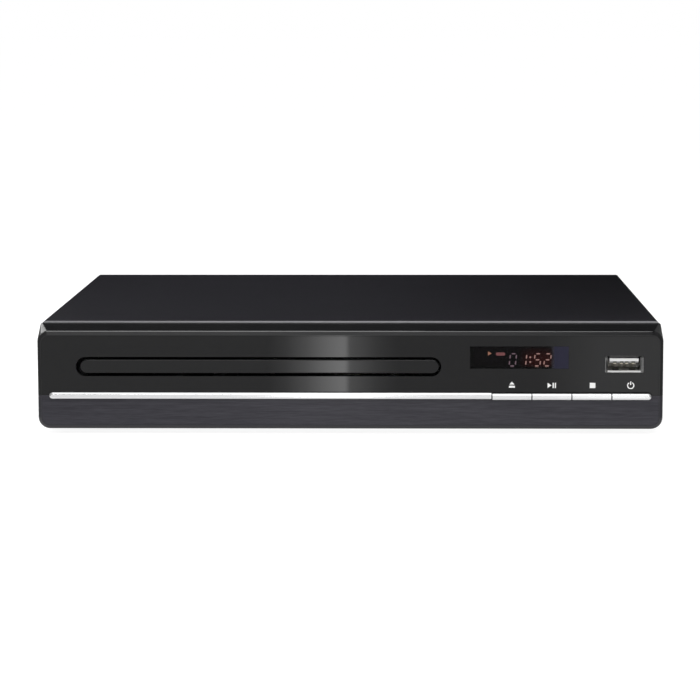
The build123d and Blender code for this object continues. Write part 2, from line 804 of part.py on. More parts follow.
def usb_contacts():
    low = usb_z + usb_height / 2 - usb_wall - usb_tongue_drop - usb_tongue_thickness
    y0 = front_y + usb_set_back + usb_tongue_set_back + usb_tongue_chamfer
    return group(block(usb_x + x - usb_contact_width / 2, usb_x + x + usb_contact_width / 2, y0, front_board_y - 2.8,
                       low - usb_contact_thickness, low) for x in usb_contact_places)


# Chassis, cover, rear panel and feet
def foot_places():
    """Each foot's X and Y."""
    x = half_width - foot_margin_x
    return [(sx * x, y) for sx in (-1, 1) for y in (front_y + foot_margin_y, rear_y - foot_margin_y)]


def loader_post_places():
    """Each loader screw's X and Y."""
    return [(tray_x + sx * lug_x, y) for sx in (-1, 1) for y in lug_y]


def board_post_places():
    """Each circuit board screw's X and Y."""
    inset = board_post_radius + 1.2
    main = [(x, y) for x in (main_board_x0 + inset, main_board_x1 - inset)
            for y in (main_board_y0 + inset, board_rear - jack_block_depth - 4 * inset)]
    power = [(power_board_x0 + inset, power_board_y0 + inset),
             (power_board_x0 + power_board_width - inset, power_board_y0 + inset),
             (power_board_x0 + power_board_width - inset, rear_inner - rear_flange_depth - inset)]
    return main + power


def cover_screw_z():
    """Height of the cover's side screws."""
    return foot_height + cover_screw_rise


def bottom_chassis():
    y0, y1 = shoulder_y + slide_gap, rear_inner
    pan = block(-chassis_half, chassis_half, y0, y1, foot_height, floor_z)
    for side in (-1, 1):
        outer, inner = side * chassis_half, side * (chassis_half - chassis_thickness)
        pan += block(min(outer, inner), max(outer, inner), y0 + panel_lip + 1, y1 - 1, foot_height,
                     foot_height + chassis_flange_height)
    for x, y in loader_post_places():
        pan += post(x, y, floor_z, lug_low - grommet_thickness, loader_post_radius)
        pan -= post(x, y, foot_height - 1, lug_low, screw_radius + shaft_gap)
    for x, y in board_post_places():
        pan += post(x, y, floor_z, board_z, board_post_radius)
        pan -= post(x, y, foot_height - 1, board_z + 1, screw_radius + shaft_gap)
    for x, y in foot_places():
        pan -= post(x, y, foot_height - 1, floor_z + 1, foot_stem_radius + fit_gap)
    for x in snap_tab_places():
        half = snap_tab_width / 2 - 2 + fit_gap
        hook = shoulder_y + snap_tab_reach
        pan -= block(x - half, x + half, hook - 2 - fit_gap, hook + fit_gap, foot_height - 1, floor_z + 1)
    for index in range(floor_vent_count):
        y = spindle_y + (index - (floor_vent_count - 1) / 2) * vent_pitch
        for x in (tray_x - frame_half / 2, (main_board_x0 + main_board_x1) / 2):
            pan -= plate_z(Pos(x, y) * SlotOverall(vent_length, vent_width), foot_height - 1, floor_z + 1)
    for back in cover_screw_places:
        pan -= rod_along_x(front_y + back, cover_screw_z(), -half_width, half_width, screw_radius + shaft_gap)
    return pan - [post(x, rear_inner - rear_flange_depth / 2, foot_height - 1, floor_z + 1, screw_radius + shaft_gap)
                  for x in rear_screw_places()]


def rear_screw_places():
    """X of the screws under the rear panel's foot flange."""
    return [-0.75 * chassis_half, -0.1 * chassis_half, 0.62 * chassis_half]


def lip_screw_places():
    """X of the screws through the cover's rear lip."""
    return [-0.8 * chassis_half, 0.0, 0.8 * chassis_half]


def lip_screw_z():
    """Height of the screws through the cover's rear lip."""
    return cover_top - cover_lip_height / 2 - 0.5


def top_cover():
    y0 = shoulder_y + fit_gap
    y1 = rear_y + cover_thickness + shaft_gap
    low = foot_height + cover_skirt_gap
    outer = block(-body_half, body_half, y0, y1, low, cover_top)
    top_edges = outer.faces().sort_by(Axis.Z)[-1].edges()
    outer = fillet(top_edges.filter_by(Axis.Y) + top_edges.filter_by(Axis.X).sort_by(Axis.Y)[-1:], cover_bend)
    inner_half = body_half - cover_thickness
    inner = block(-inner_half, inner_half, y0 - cover_bend, y1 - cover_thickness, low - 1, shoulder_z)
    top_edges = inner.faces().sort_by(Axis.Z)[-1].edges()
    inner = fillet(top_edges.filter_by(Axis.Y) + top_edges.filter_by(Axis.X).sort_by(Axis.Y)[-1:],
                   cover_bend - cover_thickness)
    sheet = outer - inner
    lip_low = cover_top - cover_lip_height
    back = rear_y
    sheet -= block(-body_half, body_half, back, y1, low, lip_low)
    for side in (-1, 1):
        edge, corner = side * body_half, side * (body_half - 2 * cover_bend)
        sheet -= block(min(edge, corner), max(edge, corner), back, y1, low, cover_top - 2 * cover_bend)
    for index in range(side_vent_count):
        y = rear_y - 3 * vent_length + (index - (side_vent_count - 1)) * vent_pitch
        z = (low + cover_top) / 2 + 2
        for side in (-1, 1):
            slot = Plane.YZ * Pos(y, z) * SlotOverall(vent_length, vent_width, rotation=90)
            sheet -= extrude(Pos(side * body_half, 0, 0) * slot, amount=2 * cover_thickness, both=True)
    for back_by in cover_screw_places:
        sheet -= rod_along_x(front_y + back_by, cover_screw_z(), -half_width, half_width, screw_radius + shaft_gap)
    return sheet - [rod_along_y(x, lip_screw_z(), rear_y - 1, y1 + 1, screw_radius + shaft_gap)
                    for x in lip_screw_places()]


def cover_screws():
    pieces = []
    for back in cover_screw_places:
        y, z = front_y + back, cover_screw_z()
        length = body_half - chassis_half + cover_screw_grip
        for side in (-1, 1):
            pieces.append(Pos(side * body_half, y, z) * Rot(0, 90 * side, 0) * screw(length, cover_screw_head_height))
    seat = rear_y + cover_thickness + shaft_gap
    pieces += [screw_y(x, lip_screw_z(), seat, rear_y - 4) for x in lip_screw_places()]
    return group(pieces)


def jack_places():
    """Each audio or video jack's X and Z."""
    return [(jack_x + sx * jack_pitch_x / 2, jack_low_z + row * jack_pitch_z) for row in (0, 1) for sx in (-1, 1)]


def inlet_cavity_outline(grow):
    """The figure-eight outline of the mains inlet, as it lies in X and Z."""
    lobes = [Pos(inlet_x + sx * inlet_pin_spacing / 2, inlet_z) * Circle(inlet_lobe_radius + grow) for sx in (-1, 1)]
    waist = Pos(inlet_x, inlet_z) * Rectangle(inlet_pin_spacing, 1.6 * inlet_lobe_radius)
    return lobes[0] + lobes[1] + waist


def rear_panel():
    half = chassis_half - chassis_thickness - fit_gap
    sheet = block(-chassis_half, chassis_half, rear_inner, rear_y, foot_height, rear_panel_top)
    sheet += block(-half, half, rear_inner - rear_flange_depth, rear_y, floor_z, floor_z + chassis_thickness)
    for x, z in jack_places():
        sheet -= rod_along_y(x, z, rear_inner - 1, rear_y + 1, jack_radius + jack_hole_gap)
    hdmi_hole = Pos(hdmi_x, hdmi_z) * Rectangle(hdmi_width + 2 * fit_gap, hdmi_height + 2 * fit_gap)
    inlet_hole = Pos(inlet_x, inlet_z) * Rectangle(inlet_width + 2 * fit_gap, inlet_height + 2 * fit_gap)
    sheet -= plate_y(hdmi_hole, rear_inner - 1, rear_y + 1)
    sheet -= plate_y(inlet_hole, rear_inner - 1, rear_y + 1)
    for x in lip_screw_places():
        sheet -= rod_along_y(x, lip_screw_z(), rear_inner - 1, rear_y + 1, screw_radius + shaft_gap)
    for x in rear_screw_places():
        sheet -= post(x, rear_inner - rear_flange_depth / 2, foot_height, floor_z + 2, screw_radius + shaft_gap)
    for index in range(floor_vent_count):
        x = tray_x + index * vent_pitch
        sheet -= plate_y(Pos(x, (floor_z + shoulder_z) / 2) * SlotOverall(vent_length, vent_width, rotation=90),
                         rear_inner - 1, rear_y + 1)
    return sheet


def rear_screws():
    return group(screw_z(x, rear_inner - rear_flange_depth / 2, foot_height, floor_z + 3, up=-1)
                 for x in rear_screw_places())


def rubber_feet():
    feet = []
    for x, y in foot_places():
        pad = post(x, y, 0, foot_height, foot_radius)
        pad = fillet(pad.faces().sort_by(Axis.Z)[0].edges(), 1.0)
        pad += post(x, y, foot_height, floor_z + 0.2, foot_stem_radius)
        pad += post(x, y, floor_z + shaft_gap, floor_z + 1.5, foot_stem_radius + 0.7)
        feet.append(pad)
    return group(feet)


# Disc tray
def disc_tray():
    x0, x1 = tray_x - tray_half_width, tray_x + tray_half_width
    body = block(x0, x1, tray_front, tray_back, tray_low, tray_high)
    under = seat_z - tray_floor
    hollow = tray_half_width - tray_skirt
    body -= block(tray_x - hollow, tray_x + hollow, tray_front + bezel_thickness, tray_back, tray_low, under)
    body += post(tray_x, spindle_y, under - small_recess_depth, seat_z, small_recess_radius + tray_floor)
    arm = tray_half_width - 3 * tray_skirt
    body -= block(tray_x - arm, tray_x + arm, tray_plate_back, tray_back, tray_low, tray_high)
    body -= post(tray_x, spindle_y, seat_z, tray_high + 1, disc_recess_radius)
    body -= post(tray_x, spindle_y, seat_z - small_recess_depth, tray_high, small_recess_radius)
    body -= post(tray_x, spindle_y, tray_low - 1, tray_high, tray_slot_half_width)
    body -= block(tray_x - tray_slot_half_width, tray_x + tray_slot_half_width, spindle_y, tray_back,
                  tray_low - 1, tray_high + 1)
    body += rack(tray_x + rack_pitch_x, -1, tray_x + hollow + 0.5, gear_y, gear_y - 6, tray_back,
                 rack_module, tray_low, tray_low + rack_height)
    return body


def tray_bezel():
    left = tray_x - tray_opening_width / 2 + bezel_left_gap
    right = tray_x + tray_opening_width / 2 - bezel_right_gap
    y0 = front_y + bezel_set_back
    body = plate_y(pill(right - left, bezel_height, (left + right) / 2, tray_z), y0, y0 + bezel_thickness)
    return fillet(body.faces().sort_by(Axis.Y)[0].edges(), bezel_round)


# Loader frame
def loader_frame():
    outer = frame_half + frame_wall
    body = block(tray_x - outer, tray_x + outer, frame_front, frame_back, frame_low, frame_deck)
    for side in (-1, 1):
        wall = sorted((tray_x + side * frame_half, tray_x + side * outer))
        body += block(*wall, frame_front, frame_back, frame_low, frame_top)
        ledge = sorted((tray_x + side * (frame_half - ledge_width), tray_x + side * frame_half))
        body += block(*ledge, frame_front, frame_back, ledge_top - ledge_thickness, ledge_top)
        tab = sorted((tray_x + side * (frame_half - hold_tab_width), tray_x + side * frame_half))
        for y in (frame_front, spindle_y + bridge_width, frame_back - hold_tab_length):
            body += block(*tab, y, y + hold_tab_length, tray_high + slide_gap, tray_high + slide_gap + 1.5)
    for x, y in loader_post_places():
        edge = tray_x + math.copysign(outer - 0.5, x - tray_x)
        lug_high = lug_low + lug_thickness
        lug = post(x, y, lug_low, lug_high, lug_radius)
        lug += block(min(x, edge), max(x, edge), y - lug_radius, y + lug_radius, lug_low, lug_high)
        body += lug - post(x, y, lug_low - 1, lug_high + 1, screw_radius + shaft_gap)

    opening = traverse_half_width + 1.5
    body -= block(tray_x - opening, tray_x + opening, traverse_front - slide_gap, pivot_y + traverse_bar,
                  frame_low, frame_deck)
    for side in (-1, 1):
        foot = sorted((tray_x + side * opening, tray_x + side * (opening + pivot_post_width)))
        body += block(*foot, pivot_y - 4, pivot_y + 4, frame_low, pivot_z + pivot_radius + 1.5)
        body -= rod_along_x(pivot_y, pivot_z, foot[0] - 1, foot[1] + 1, pivot_radius + shaft_gap)

    pot = loading_motor_radius + motor_pot_wall
    body += post(motor_x, gear_y, frame_low, motor_deck_top, pot)
    body -= post(motor_x, gear_y, frame_low - 1, motor_top, loading_motor_radius + fit_gap)
    body -= post(motor_x, gear_y, motor_top - 1, motor_deck_top + 1, motor_pulley_radius + pulley_rim + slide_gap)
    for x, top in ((drive_gear_x, tray_low + rack_height), (pulley_gear_x, pulley_high)):
        body += post(x, gear_y, frame_deck - 0.5, top, gear_post_radius)
        body += post(x, gear_y, frame_deck - 0.5, gear_low - fit_gap, gear_post_radius + 1.4)
    for side in (-1, 1):
        guide = sorted((tray_x + side * (cam_half_length - 6), tray_x + side * (cam_half_length + 2)))
        body += block(*guide, cam_y0 - slide_gap - 1.2, cam_y0 - slide_gap, frame_deck - 0.5, cam_high - 3)
    return body


def loader_grommets():
    rings = [post(x, y, lug_low - grommet_thickness, lug_low, grommet_radius)
             - post(x, y, lug_low - grommet_thickness - 1, lug_low + 1, screw_radius + shaft_gap)
             for x, y in loader_post_places()]
    return group(rings)


def loader_screws():
    return group(screw_z(x, y, lug_low + lug_thickness, foot_height + 0.5) for x, y in loader_post_places())


def clamp_bridge():
    outer = frame_half + frame_wall
    y0, y1 = spindle_y - bridge_width / 2, spindle_y + bridge_width / 2
    plate = block(tray_x - outer, tray_x + outer, y0, y1, bridge_low, bridge_high)
    plate = fillet(plate.edges().filter_by(Axis.Z), 3.0)
    plate -= post(tray_x, spindle_y, bridge_low - 1, bridge_high + 1, bridge_hole_radius)
    for side in (-1, 1):
        near = bridge_hole_radius + bridge_window_gap
        span = sorted((tray_x + side * near, tray_x + side * (near + bridge_window_width)))
        plate -= block(*span, spindle_y - bridge_window / 2, spindle_y + bridge_window / 2,
                       bridge_low - 1, bridge_high + 1)
    return plate


def clamper():
    body = post(tray_x, spindle_y, clamper_low, clamper_rim + 0.5, clamper_radius)
    body += post(tray_x, spindle_y, clamper_rim, clamper_rim + clamper_flange, clamper_flange_radius)
    body -= post(tray_x, spindle_y, clamper_low - 1, disc_z + hub_height + 1.0, hub_radius + 0.8)
    return fillet(body.faces().sort_by(Axis.Z)[-1].edges(), 0.5)


def clamper_magnet():
    low = clamper_rim + clamper_flange
    ring = post(tray_x, spindle_y, low, low + magnet_height, magnet_radius)
    return ring - post(tray_x, spindle_y, low - 1, low + magnet_height + 1, magnet_radius / 2)


# Loading gear train
def loading_motor():
    can = post(motor_x, gear_y, motor_low, motor_top, loading_motor_radius)
    can = fillet(can.faces().sort_by(Axis.Z)[0].edges(), 1.0)
    return can - post(motor_x, gear_y, motor_top - 5, motor_top + 1, motor_shaft_radius + shaft_gap)


def grooved_pulley(x, radius):
    """A pulley with a flat-bottomed belt groove at the pulley level."""
    rim = radius + pulley_rim
    wheel = post(x, gear_y, pulley_low, pulley_high, rim)
    belt_low, belt_high = belt_levels()
    groove = post(x, gear_y, belt_low - fit_gap, belt_high + fit_gap, rim + 1)
    return wheel - (groove - post(x, gear_y, belt_low - 1, belt_high + 1, radius))


def belt_levels():
    """The belt's lower and upper edges, in the middle of the pulleys."""
    middle = (pulley_low + pulley_high) / 2
    return middle - belt_thickness / 2, middle + belt_thickness / 2


def motor_pulley():
    return grooved_pulley(motor_x, motor_pulley_radius) + post(motor_x, gear_y, motor_top - 4, pulley_low + 0.5,
                                                               motor_shaft_radius)


def pulley_gear():
    body = grooved_pulley(pulley_gear_x, pulley_radius)
    turn = 360.0 + 180.0 / pulley_pinion_teeth
    pinion = gear(pulley_pinion_teeth, reduction_module, gear_low, pulley_low + fit_gap, turn)
    body += Pos(pulley_gear_x, gear_y, 0) * pinion
    return body - post(pulley_gear_x, gear_y, gear_low - 1, pulley_high + 1, gear_post_radius + shaft_gap)


def drive_gear():
    wheel = gear(drive_wheel_teeth, reduction_module, gear_low, gear_high, 180.0)
    wheel += gear(rack_pinion_teeth, rack_module, tray_low, tray_low + rack_height - fit_gap)
    wheel += post(0, 0, gear_high - 0.5, tray_low + 0.5, gear_post_radius + 1.8)
    wheel -= post(0, 0, gear_low - 1, tray_high, gear_post_radius + shaft_gap)
    return Pos(drive_gear_x, gear_y, 0) * wheel


def belt_loop(grow):
    """The outline that hugs both pulleys, grown by a distance."""
    wheels = [(motor_x, motor_pulley_radius + grow), (pulley_gear_x, pulley_radius + grow)]
    lean = math.acos((wheels[1][1] - wheels[0][1]) / belt_span)
    tangents = [(x - r * math.cos(lean), r * math.sin(lean)) for x, r in wheels]
    corners = tangents + [(x, -y) for x, y in reversed(tangents)]
    loop = make_face(Polyline(*corners, close=True))
    for x, r in wheels:
        loop += Pos(x, 0) * Circle(r)
    return Pos(0, gear_y) * loop


def drive_belt():
    low, high = belt_levels()
    return plate_z(belt_loop(shaft_gap + belt_thickness) - belt_loop(shaft_gap), low, high)


# Cam slider and traverse
def cam_slider():
    bar = block(tray_x - cam_half_length, tray_x + cam_half_length, cam_y0, cam_y1, cam_low, cam_high)
    slope = math.degrees(math.atan2(cam_drop, cam_travel))
    length = math.hypot(cam_drop, cam_travel)
    for side in (-1, 1):
        middle = Pos(tray_x + side * cam_pin_x - cam_travel / 2, cam_pin_z - cam_drop / 2)
        slot = middle * Rot(0, 0, slope) * SlotOverall(length + 2 * cam_slot_radius, 2 * cam_slot_radius)
        bar -= plate_y(slot, cam_y0 - 1, cam_y1 + 1)
    return bar


def traverse_frame():
    half = traverse_half_width
    body = block(tray_x - half, tray_x + half, traverse_front, pivot_y + traverse_bar - 1,
                 traverse_low, traverse_high)
    window_half = sled_half + 1.0
    window_back = sled_back + sled_travel + sled_end_gap
    window_front = sled_front - sled_end_gap
    body -= block(tray_x - window_half, tray_x + sled_rack_x + 1.2, window_front, window_back,
                  traverse_low - 1, traverse_high + 1)
    rack_side = sled_gear_x + sled_rack_r + 1.2
    body -= block(tray_x, rack_side, sled_gear_y - sled_rack_r - 1.2, sled_motor_y + sled_motor_r + 1.5,
                  traverse_low - 1, traverse_high + 1)

    for side in (-1, 1):
        edge, tip = tray_x + side * (half - 1), tray_x + side * (half + 1.5 + pivot_post_width)
        body += rod_along_x(pivot_y, pivot_z, min(edge, tip), max(edge, tip), pivot_radius)
        x = tray_x + side * rod_x
        for y in (window_front - rod_lug, window_back):
            body += block(x - 3, x + 3, y, y + rod_lug, traverse_low, rod_z + rod_radius + 1.0)
            body -= rod_along_y(x, rod_z, y - 1, y + rod_lug + 1, rod_radius + shaft_gap)
        x = tray_x + side * cam_pin_x
        body += block(x - 3, x + 3, traverse_front, traverse_front + 2, traverse_low, cam_pin_z + cam_pin_radius + 0.6)
        body += rod_along_y(x, cam_pin_z, cam_y0 + 0.4, traverse_front + 1, cam_pin_radius)
    return body


def sled_bracket():
    """The steel strap under the traverse that carries the sled motor and the sled gear's post."""
    low = sled_wheel_low - slide_gap - 1.0
    high = sled_wheel_low - slide_gap
    x = sled_gear_x
    strap = block(x - 4, x + 4, sled_gear_y - 4, sled_motor_y + sled_motor_radius, low, high)
    strap += post(x, sled_motor_y, low, high, sled_motor_radius)
    side = tray_x + traverse_half_width
    leg_y = sled_motor_y + sled_motor_radius - 4
    strap += block(x, side - 0.5, leg_y, leg_y + 4, low, high)
    strap += block(side - 2.5, side - 0.5, leg_y, leg_y + 4, low, traverse_low)
    strap -= post(x, sled_motor_y, low - 1, high + 1, motor_shaft_radius + slide_gap)
    return strap + post(x, sled_gear_y, low, rod_z + sled_gear_height, gear_post_radius - 0.5)


def sled_motor():
    high = sled_wheel_low - slide_gap - 1.0
    can = post(sled_gear_x, sled_motor_y, high - sled_motor_height, high, sled_motor_radius)
    can = fillet(can.faces().sort_by(Axis.Z)[0].edges(), 0.8)
    return can - post(sled_gear_x, sled_motor_y, high - 3, high + 1, motor_shaft_radius + shaft_gap)


def sled_pinion():
    high = sled_wheel_low - slide_gap - 1.0
    turn = 270.0 + 180.0 / sled_motor_teeth
    body = gear(sled_motor_teeth, sled_wheel_module, sled_wheel_low, sled_wheel_high, turn)
    body += post(0, 0, high - 2.5, sled_wheel_low + 0.5, motor_shaft_radius)
    return Pos(sled_gear_x, sled_motor_y, 0) * body


def sled_gear():
    body = gear(sled_wheel_teeth, sled_wheel_module, sled_wheel_low, sled_wheel_high, 90.0)
    high = rod_z + sled_gear_height - fit_gap
    body += gear(sled_pinion_teeth, sled_rack_module, sled_wheel_high - fit_gap, high, 180.0)
    body -= post(0, 0, sled_wheel_low - 1, rod_z + 2 * sled_gear_height, gear_post_radius - 0.5 + shaft_gap)
    return Pos(sled_gear_x, sled_gear_y, 0) * body


def guide_rods():
    y0 = sled_front - sled_end_gap - rod_lug
    y1 = sled_back + sled_travel + sled_end_gap + rod_lug
    return group(rod_along_y(tray_x + side * rod_x, rod_z, y0, y1, rod_radius) for side in (-1, 1))


def pickup_sled():
    body = block(tray_x - sled_half, tray_x + sled_half, sled_front, sled_back, sled_low, sled_high)
    for side in (-1, 1):
        body -= rod_along_y(tray_x + side * rod_x, rod_z, sled_front - 1, sled_back + 1, rod_radius + shaft_gap)
    body -= post(tray_x, lens_y, sled_low + 2.0, sled_high + 1, lens_holder_radius + lens_well_gap)
    body = fillet(body.edges().filter_by(Axis.Z).filter_by(GeomType.LINE), 1.0)
    reach = sled_gear_y + 3 * sled_rack_module
    start = sled_gear_y - sled_travel - 3 * sled_rack_module
    pitch_x = tray_x + sled_rack_x - tooth_head * sled_rack_module
    body += rack(pitch_x, 1, tray_x + sled_half - 0.5, sled_gear_y, start, reach, sled_rack_module,
                 rod_z - sled_gear_height / 2, rod_z + sled_gear_height / 2)
    return body


def lens_holder():
    low = sled_low + 2.0 + focus_travel + fit_gap
    high = disc_z - lens_below_disc
    body = post(tray_x, lens_y, low, high, lens_holder_radius)
    body = fillet(body.faces().sort_by(Axis.Z)[-1].edges(), 0.8)
    return body - post(tray_x, lens_y, high - 1.2, high + 1, lens_radius + shaft_gap)


def objective_lens():
    high = disc_z - lens_below_disc
    body = post(tray_x, lens_y, high - 1.2, high - 0.1, lens_radius)
    return fillet(body.faces().sort_by(Axis.Z)[-1].edges(), 0.7)


def spindle_motor():
    can = post(tray_x, spindle_y, traverse_high, disc_z - turntable_thickness - spindle_motor_gap,
               spindle_motor_radius)
    can = fillet(can.faces().sort_by(Axis.Z)[-1].edges(), 0.8)
    bore = spindle_shaft_radius + shaft_gap
    return can - post(tray_x, spindle_y, traverse_high + spindle_motor_base, disc_z, bore)


def turntable():
    low = disc_z - turntable_thickness
    body = post(tray_x, spindle_y, low, disc_z, turntable_radius)
    body = fillet(body.faces().sort_by(Axis.Z)[-1].edges(), 0.4)
    body += post(tray_x, spindle_y, low - spindle_motor_gap + slide_gap, low, hub_radius)
    body += Pos(tray_x, spindle_y, disc_z + hub_height / 2) * Cone(hub_radius, hub_tip_radius, hub_height)
    return body + post(tray_x, spindle_y, traverse_high + spindle_motor_base + slide_gap, low, spindle_shaft_radius)


# Boards and sockets
def board_with_holes(x0, x1, y0, y1):
    """A circuit board, drilled for the posts that lie under it."""
    body = block(x0, x1, y0, y1, board_z, board_top)
    holes = [post(x, y, board_z - 1, board_top + 1, screw_radius + shaft_gap) for x, y in board_post_places()
             if x0 < x < x1 and y0 < y < y1]
    return body - holes


def main_board():
    return board_with_holes(main_board_x0, main_board_x1, main_board_y0, board_rear)


def power_board():
    return board_with_holes(power_board_x0, power_board_x0 + power_board_width, power_board_y0, board_rear)


def board_screws():
    return group(screw_z(x, y, board_top, foot_height + 0.5) for x, y in board_post_places())


def decoder_chip():
    x = (main_board_x0 + main_board_x1) / 2
    y = main_board_y0 + main_board_depth / 2
    half = chip_size / 2
    body = block(x - half, x + half, y - half, y + half, board_top, board_top + chip_height)
    return chamfer(body.edges().filter_by(Axis.Z), 1.0)


def heat_sink():
    x = (main_board_x0 + main_board_x1) / 2
    y = main_board_y0 + main_board_depth / 2
    half = chip_size / 2
    low = board_top + chip_height
    body = block(x - half, x + half, y - half, y + half, low, low + heat_sink_height)
    pitch = chip_size / heat_sink_fins
    for index in range(heat_sink_fins - 1):
        gap = x - half + (index + 1) * pitch
        body -= block(gap - pitch / 4, gap + pitch / 4, y - half - 1, y + half + 1,
                      low + heat_sink_base, low + heat_sink_height + 1)
    return body


def power_capacitors():
    x = power_board_x0 + power_board_width / 3
    cans = []
    for radius, height in capacitor_sizes:
        x += radius + 1.0
        can = post(x, power_board_y0 + power_board_depth / 2, board_top, board_top + height, radius)
        cans.append(fillet(can.faces().sort_by(Axis.Z)[-1].edges(), 0.6))
        x += radius
    return group(cans)


def power_transformer():
    width, depth, height = transformer_size
    x = power_board_x0 + power_board_width - width / 2 - 3 * board_post_radius
    y = power_board_y0 + power_board_depth / 2
    half, deep = width / 2, depth / 2
    top = board_top + height
    step = transformer_step
    core = block(x - half, x + half, y - deep + step, y + deep - step, board_top + step, top)
    return core + block(x - half + 2 * step, x + half - 2 * step, y - deep, y + deep, board_top, top - step)


def mains_fuse():
    z = board_top + fuse_radius
    x0 = power_board_x0 + 4 * board_post_radius
    y = power_board_y0 + fuse_radius + 0.8
    tube = rod_along_x(y, z, x0, x0 + fuse_length, fuse_radius)
    return tube


def av_jack_block():
    half = jack_pitch_x / 2 + jack_block_margin
    high = jack_low_z + jack_pitch_z + jack_block_margin
    body = block(jack_x - half, jack_x + half, rear_inner - jack_block_depth, rear_inner, board_top, high)
    for x, z in jack_places():
        body -= rod_along_y(x, z, rear_inner - jack_block_depth + 2, rear_inner + 1,
                            jack_radius - jack_neck + shaft_gap)
    return body


def av_jack_barrels():
    tubes = []
    for x, z in jack_places():
        y0, y1 = rear_inner - jack_block_depth + 2, rear_y + jack_reach
        tube = rod_along_y(x, z, y0, y1, jack_radius - jack_neck)
        tube += rod_along_y(x, z, rear_y + jack_shoulder, y1, jack_radius)
        tubes.append(tube - rod_along_y(x, z, y0 - 1, y1 + 1, jack_radius - jack_wall))
    return group(tubes)


def av_jack_inserts():
    plugs = []
    for x, z in jack_places():
        y0, y1 = rear_inner - jack_block_depth + 2, rear_y + jack_reach - 0.8
        core = rod_along_y(x, z, y0, y1, jack_radius - jack_wall - shaft_gap)
        plugs.append(core - rod_along_y(x, z, y1 - jack_pin_depth, y1 + 1, jack_pin_radius))
    return group(plugs)


def hdmi_profile(width, height):
    """The socket's mouth: straight sides above, drawn in below."""
    w, h = width / 2, height / 2
    corners = [(-w, h), (w, h), (w, -0.1 * h), (w - 0.3 * h, -h), (-w + 0.3 * h, -h), (-w, -0.1 * h)]
    return Pos(hdmi_x, hdmi_z) * make_face(Polyline(*corners, close=True))


def hdmi_shell():
    y0, y1 = rear_inner - hdmi_depth, rear_y + 0.3
    shell = plate_y(hdmi_profile(hdmi_width, hdmi_height), y0, y1)
    return shell - plate_y(hdmi_profile(hdmi_width - 2 * hdmi_wall, hdmi_height - 2 * hdmi_wall), y0 + 1, y1 + 1)


def hdmi_tongue_bar():
    y0 = rear_inner - hdmi_depth + 1
    half = hdmi_width / 2 - 1.6
    return block(hdmi_x - half, hdmi_x + half, y0, rear_y - 1.0, hdmi_z - hdmi_tongue / 2 + 0.3,
                 hdmi_z + hdmi_tongue / 2 + 0.3)


def mains_inlet():
    half = inlet_width / 2
    y0, y1 = rear_inner - inlet_depth, rear_y + 1.2
    body = block(inlet_x - half, inlet_x + half, y0, y1, board_top, board_top + inlet_height)
    body = fillet(body.edges().filter_by(Axis.Y), 1.5)
    body -= plate_y(inlet_cavity_outline(0), y1 - inlet_cavity, y1 + 1)
    for side in (-1, 1):
        x = inlet_x + side * inlet_pin_spacing / 2
        body -= rod_along_y(x, inlet_z, y0 + 2, y1, inlet_pin_radius + shaft_gap)
    return body


def inlet_pins():
    y1 = rear_y + 1.2 - inlet_cavity + inlet_pin_length
    pins = []
    for side in (-1, 1):
        x = inlet_x + side * inlet_pin_spacing / 2
        pin = rod_along_y(x, inlet_z, rear_inner - inlet_depth + 2, y1, inlet_pin_radius)
        pins.append(fillet(pin.faces().sort_by(Axis.Y)[-1].edges(), 0.6))
    return group(pins)


# Flat cables
def front_cable():
    """From the front board's back, down to the pan and up to the main board's front edge."""
    x0 = main_board_x1 - front_ribbon_width - 2
    back = front_board_y + board_thickness
    top = front_board_z + front_board_height / 2
    low = floor_z + ribbon_thickness / 2 + shaft_gap
    landing = main_board_y0 + ribbon_landing
    turn = main_board_y0 - ribbon_rise
    high = board_top + ribbon_rise
    run = [(back, top), (back + ribbon_rise, top), (back + ribbon_rise, low), (turn, low), (turn, high),
           (landing, high), (landing, board_top)]
    return ribbon(run, x0, x0 + front_ribbon_width)


def loader_cable():
    """From under the loader frame, along the pan to the underside of the main board."""
    low = floor_z + ribbon_thickness / 2 + shaft_gap
    x0 = tray_x + (traverse_half_width + frame_half) / 2
    x1 = main_board_x0 + 4 * board_post_radius
    y0 = main_board_y0 + 4 * board_post_radius
    return cross_ribbon([(x0, frame_low), (x0, low), (x1, low), (x1, board_z)], y0, y0 + loader_ribbon_width)


def power_cable():
    """From the power board, arched over to the main board."""
    high = board_top + ribbon_arch
    low_post = power_board_y0 + board_post_radius + 1.2
    high_post = rear_inner - rear_flange_depth - board_post_radius - 1.2
    y0 = (low_post + high_post - power_ribbon_width) / 2
    x0 = power_board_x0 + power_board_width - board_post_radius
    x1 = main_board_x0 + 2 * board_post_radius
    run = [(x0, board_top), (x0, high), (x1, high), (x1, board_top)]
    return cross_ribbon(run, y0, y0 + power_ribbon_width)


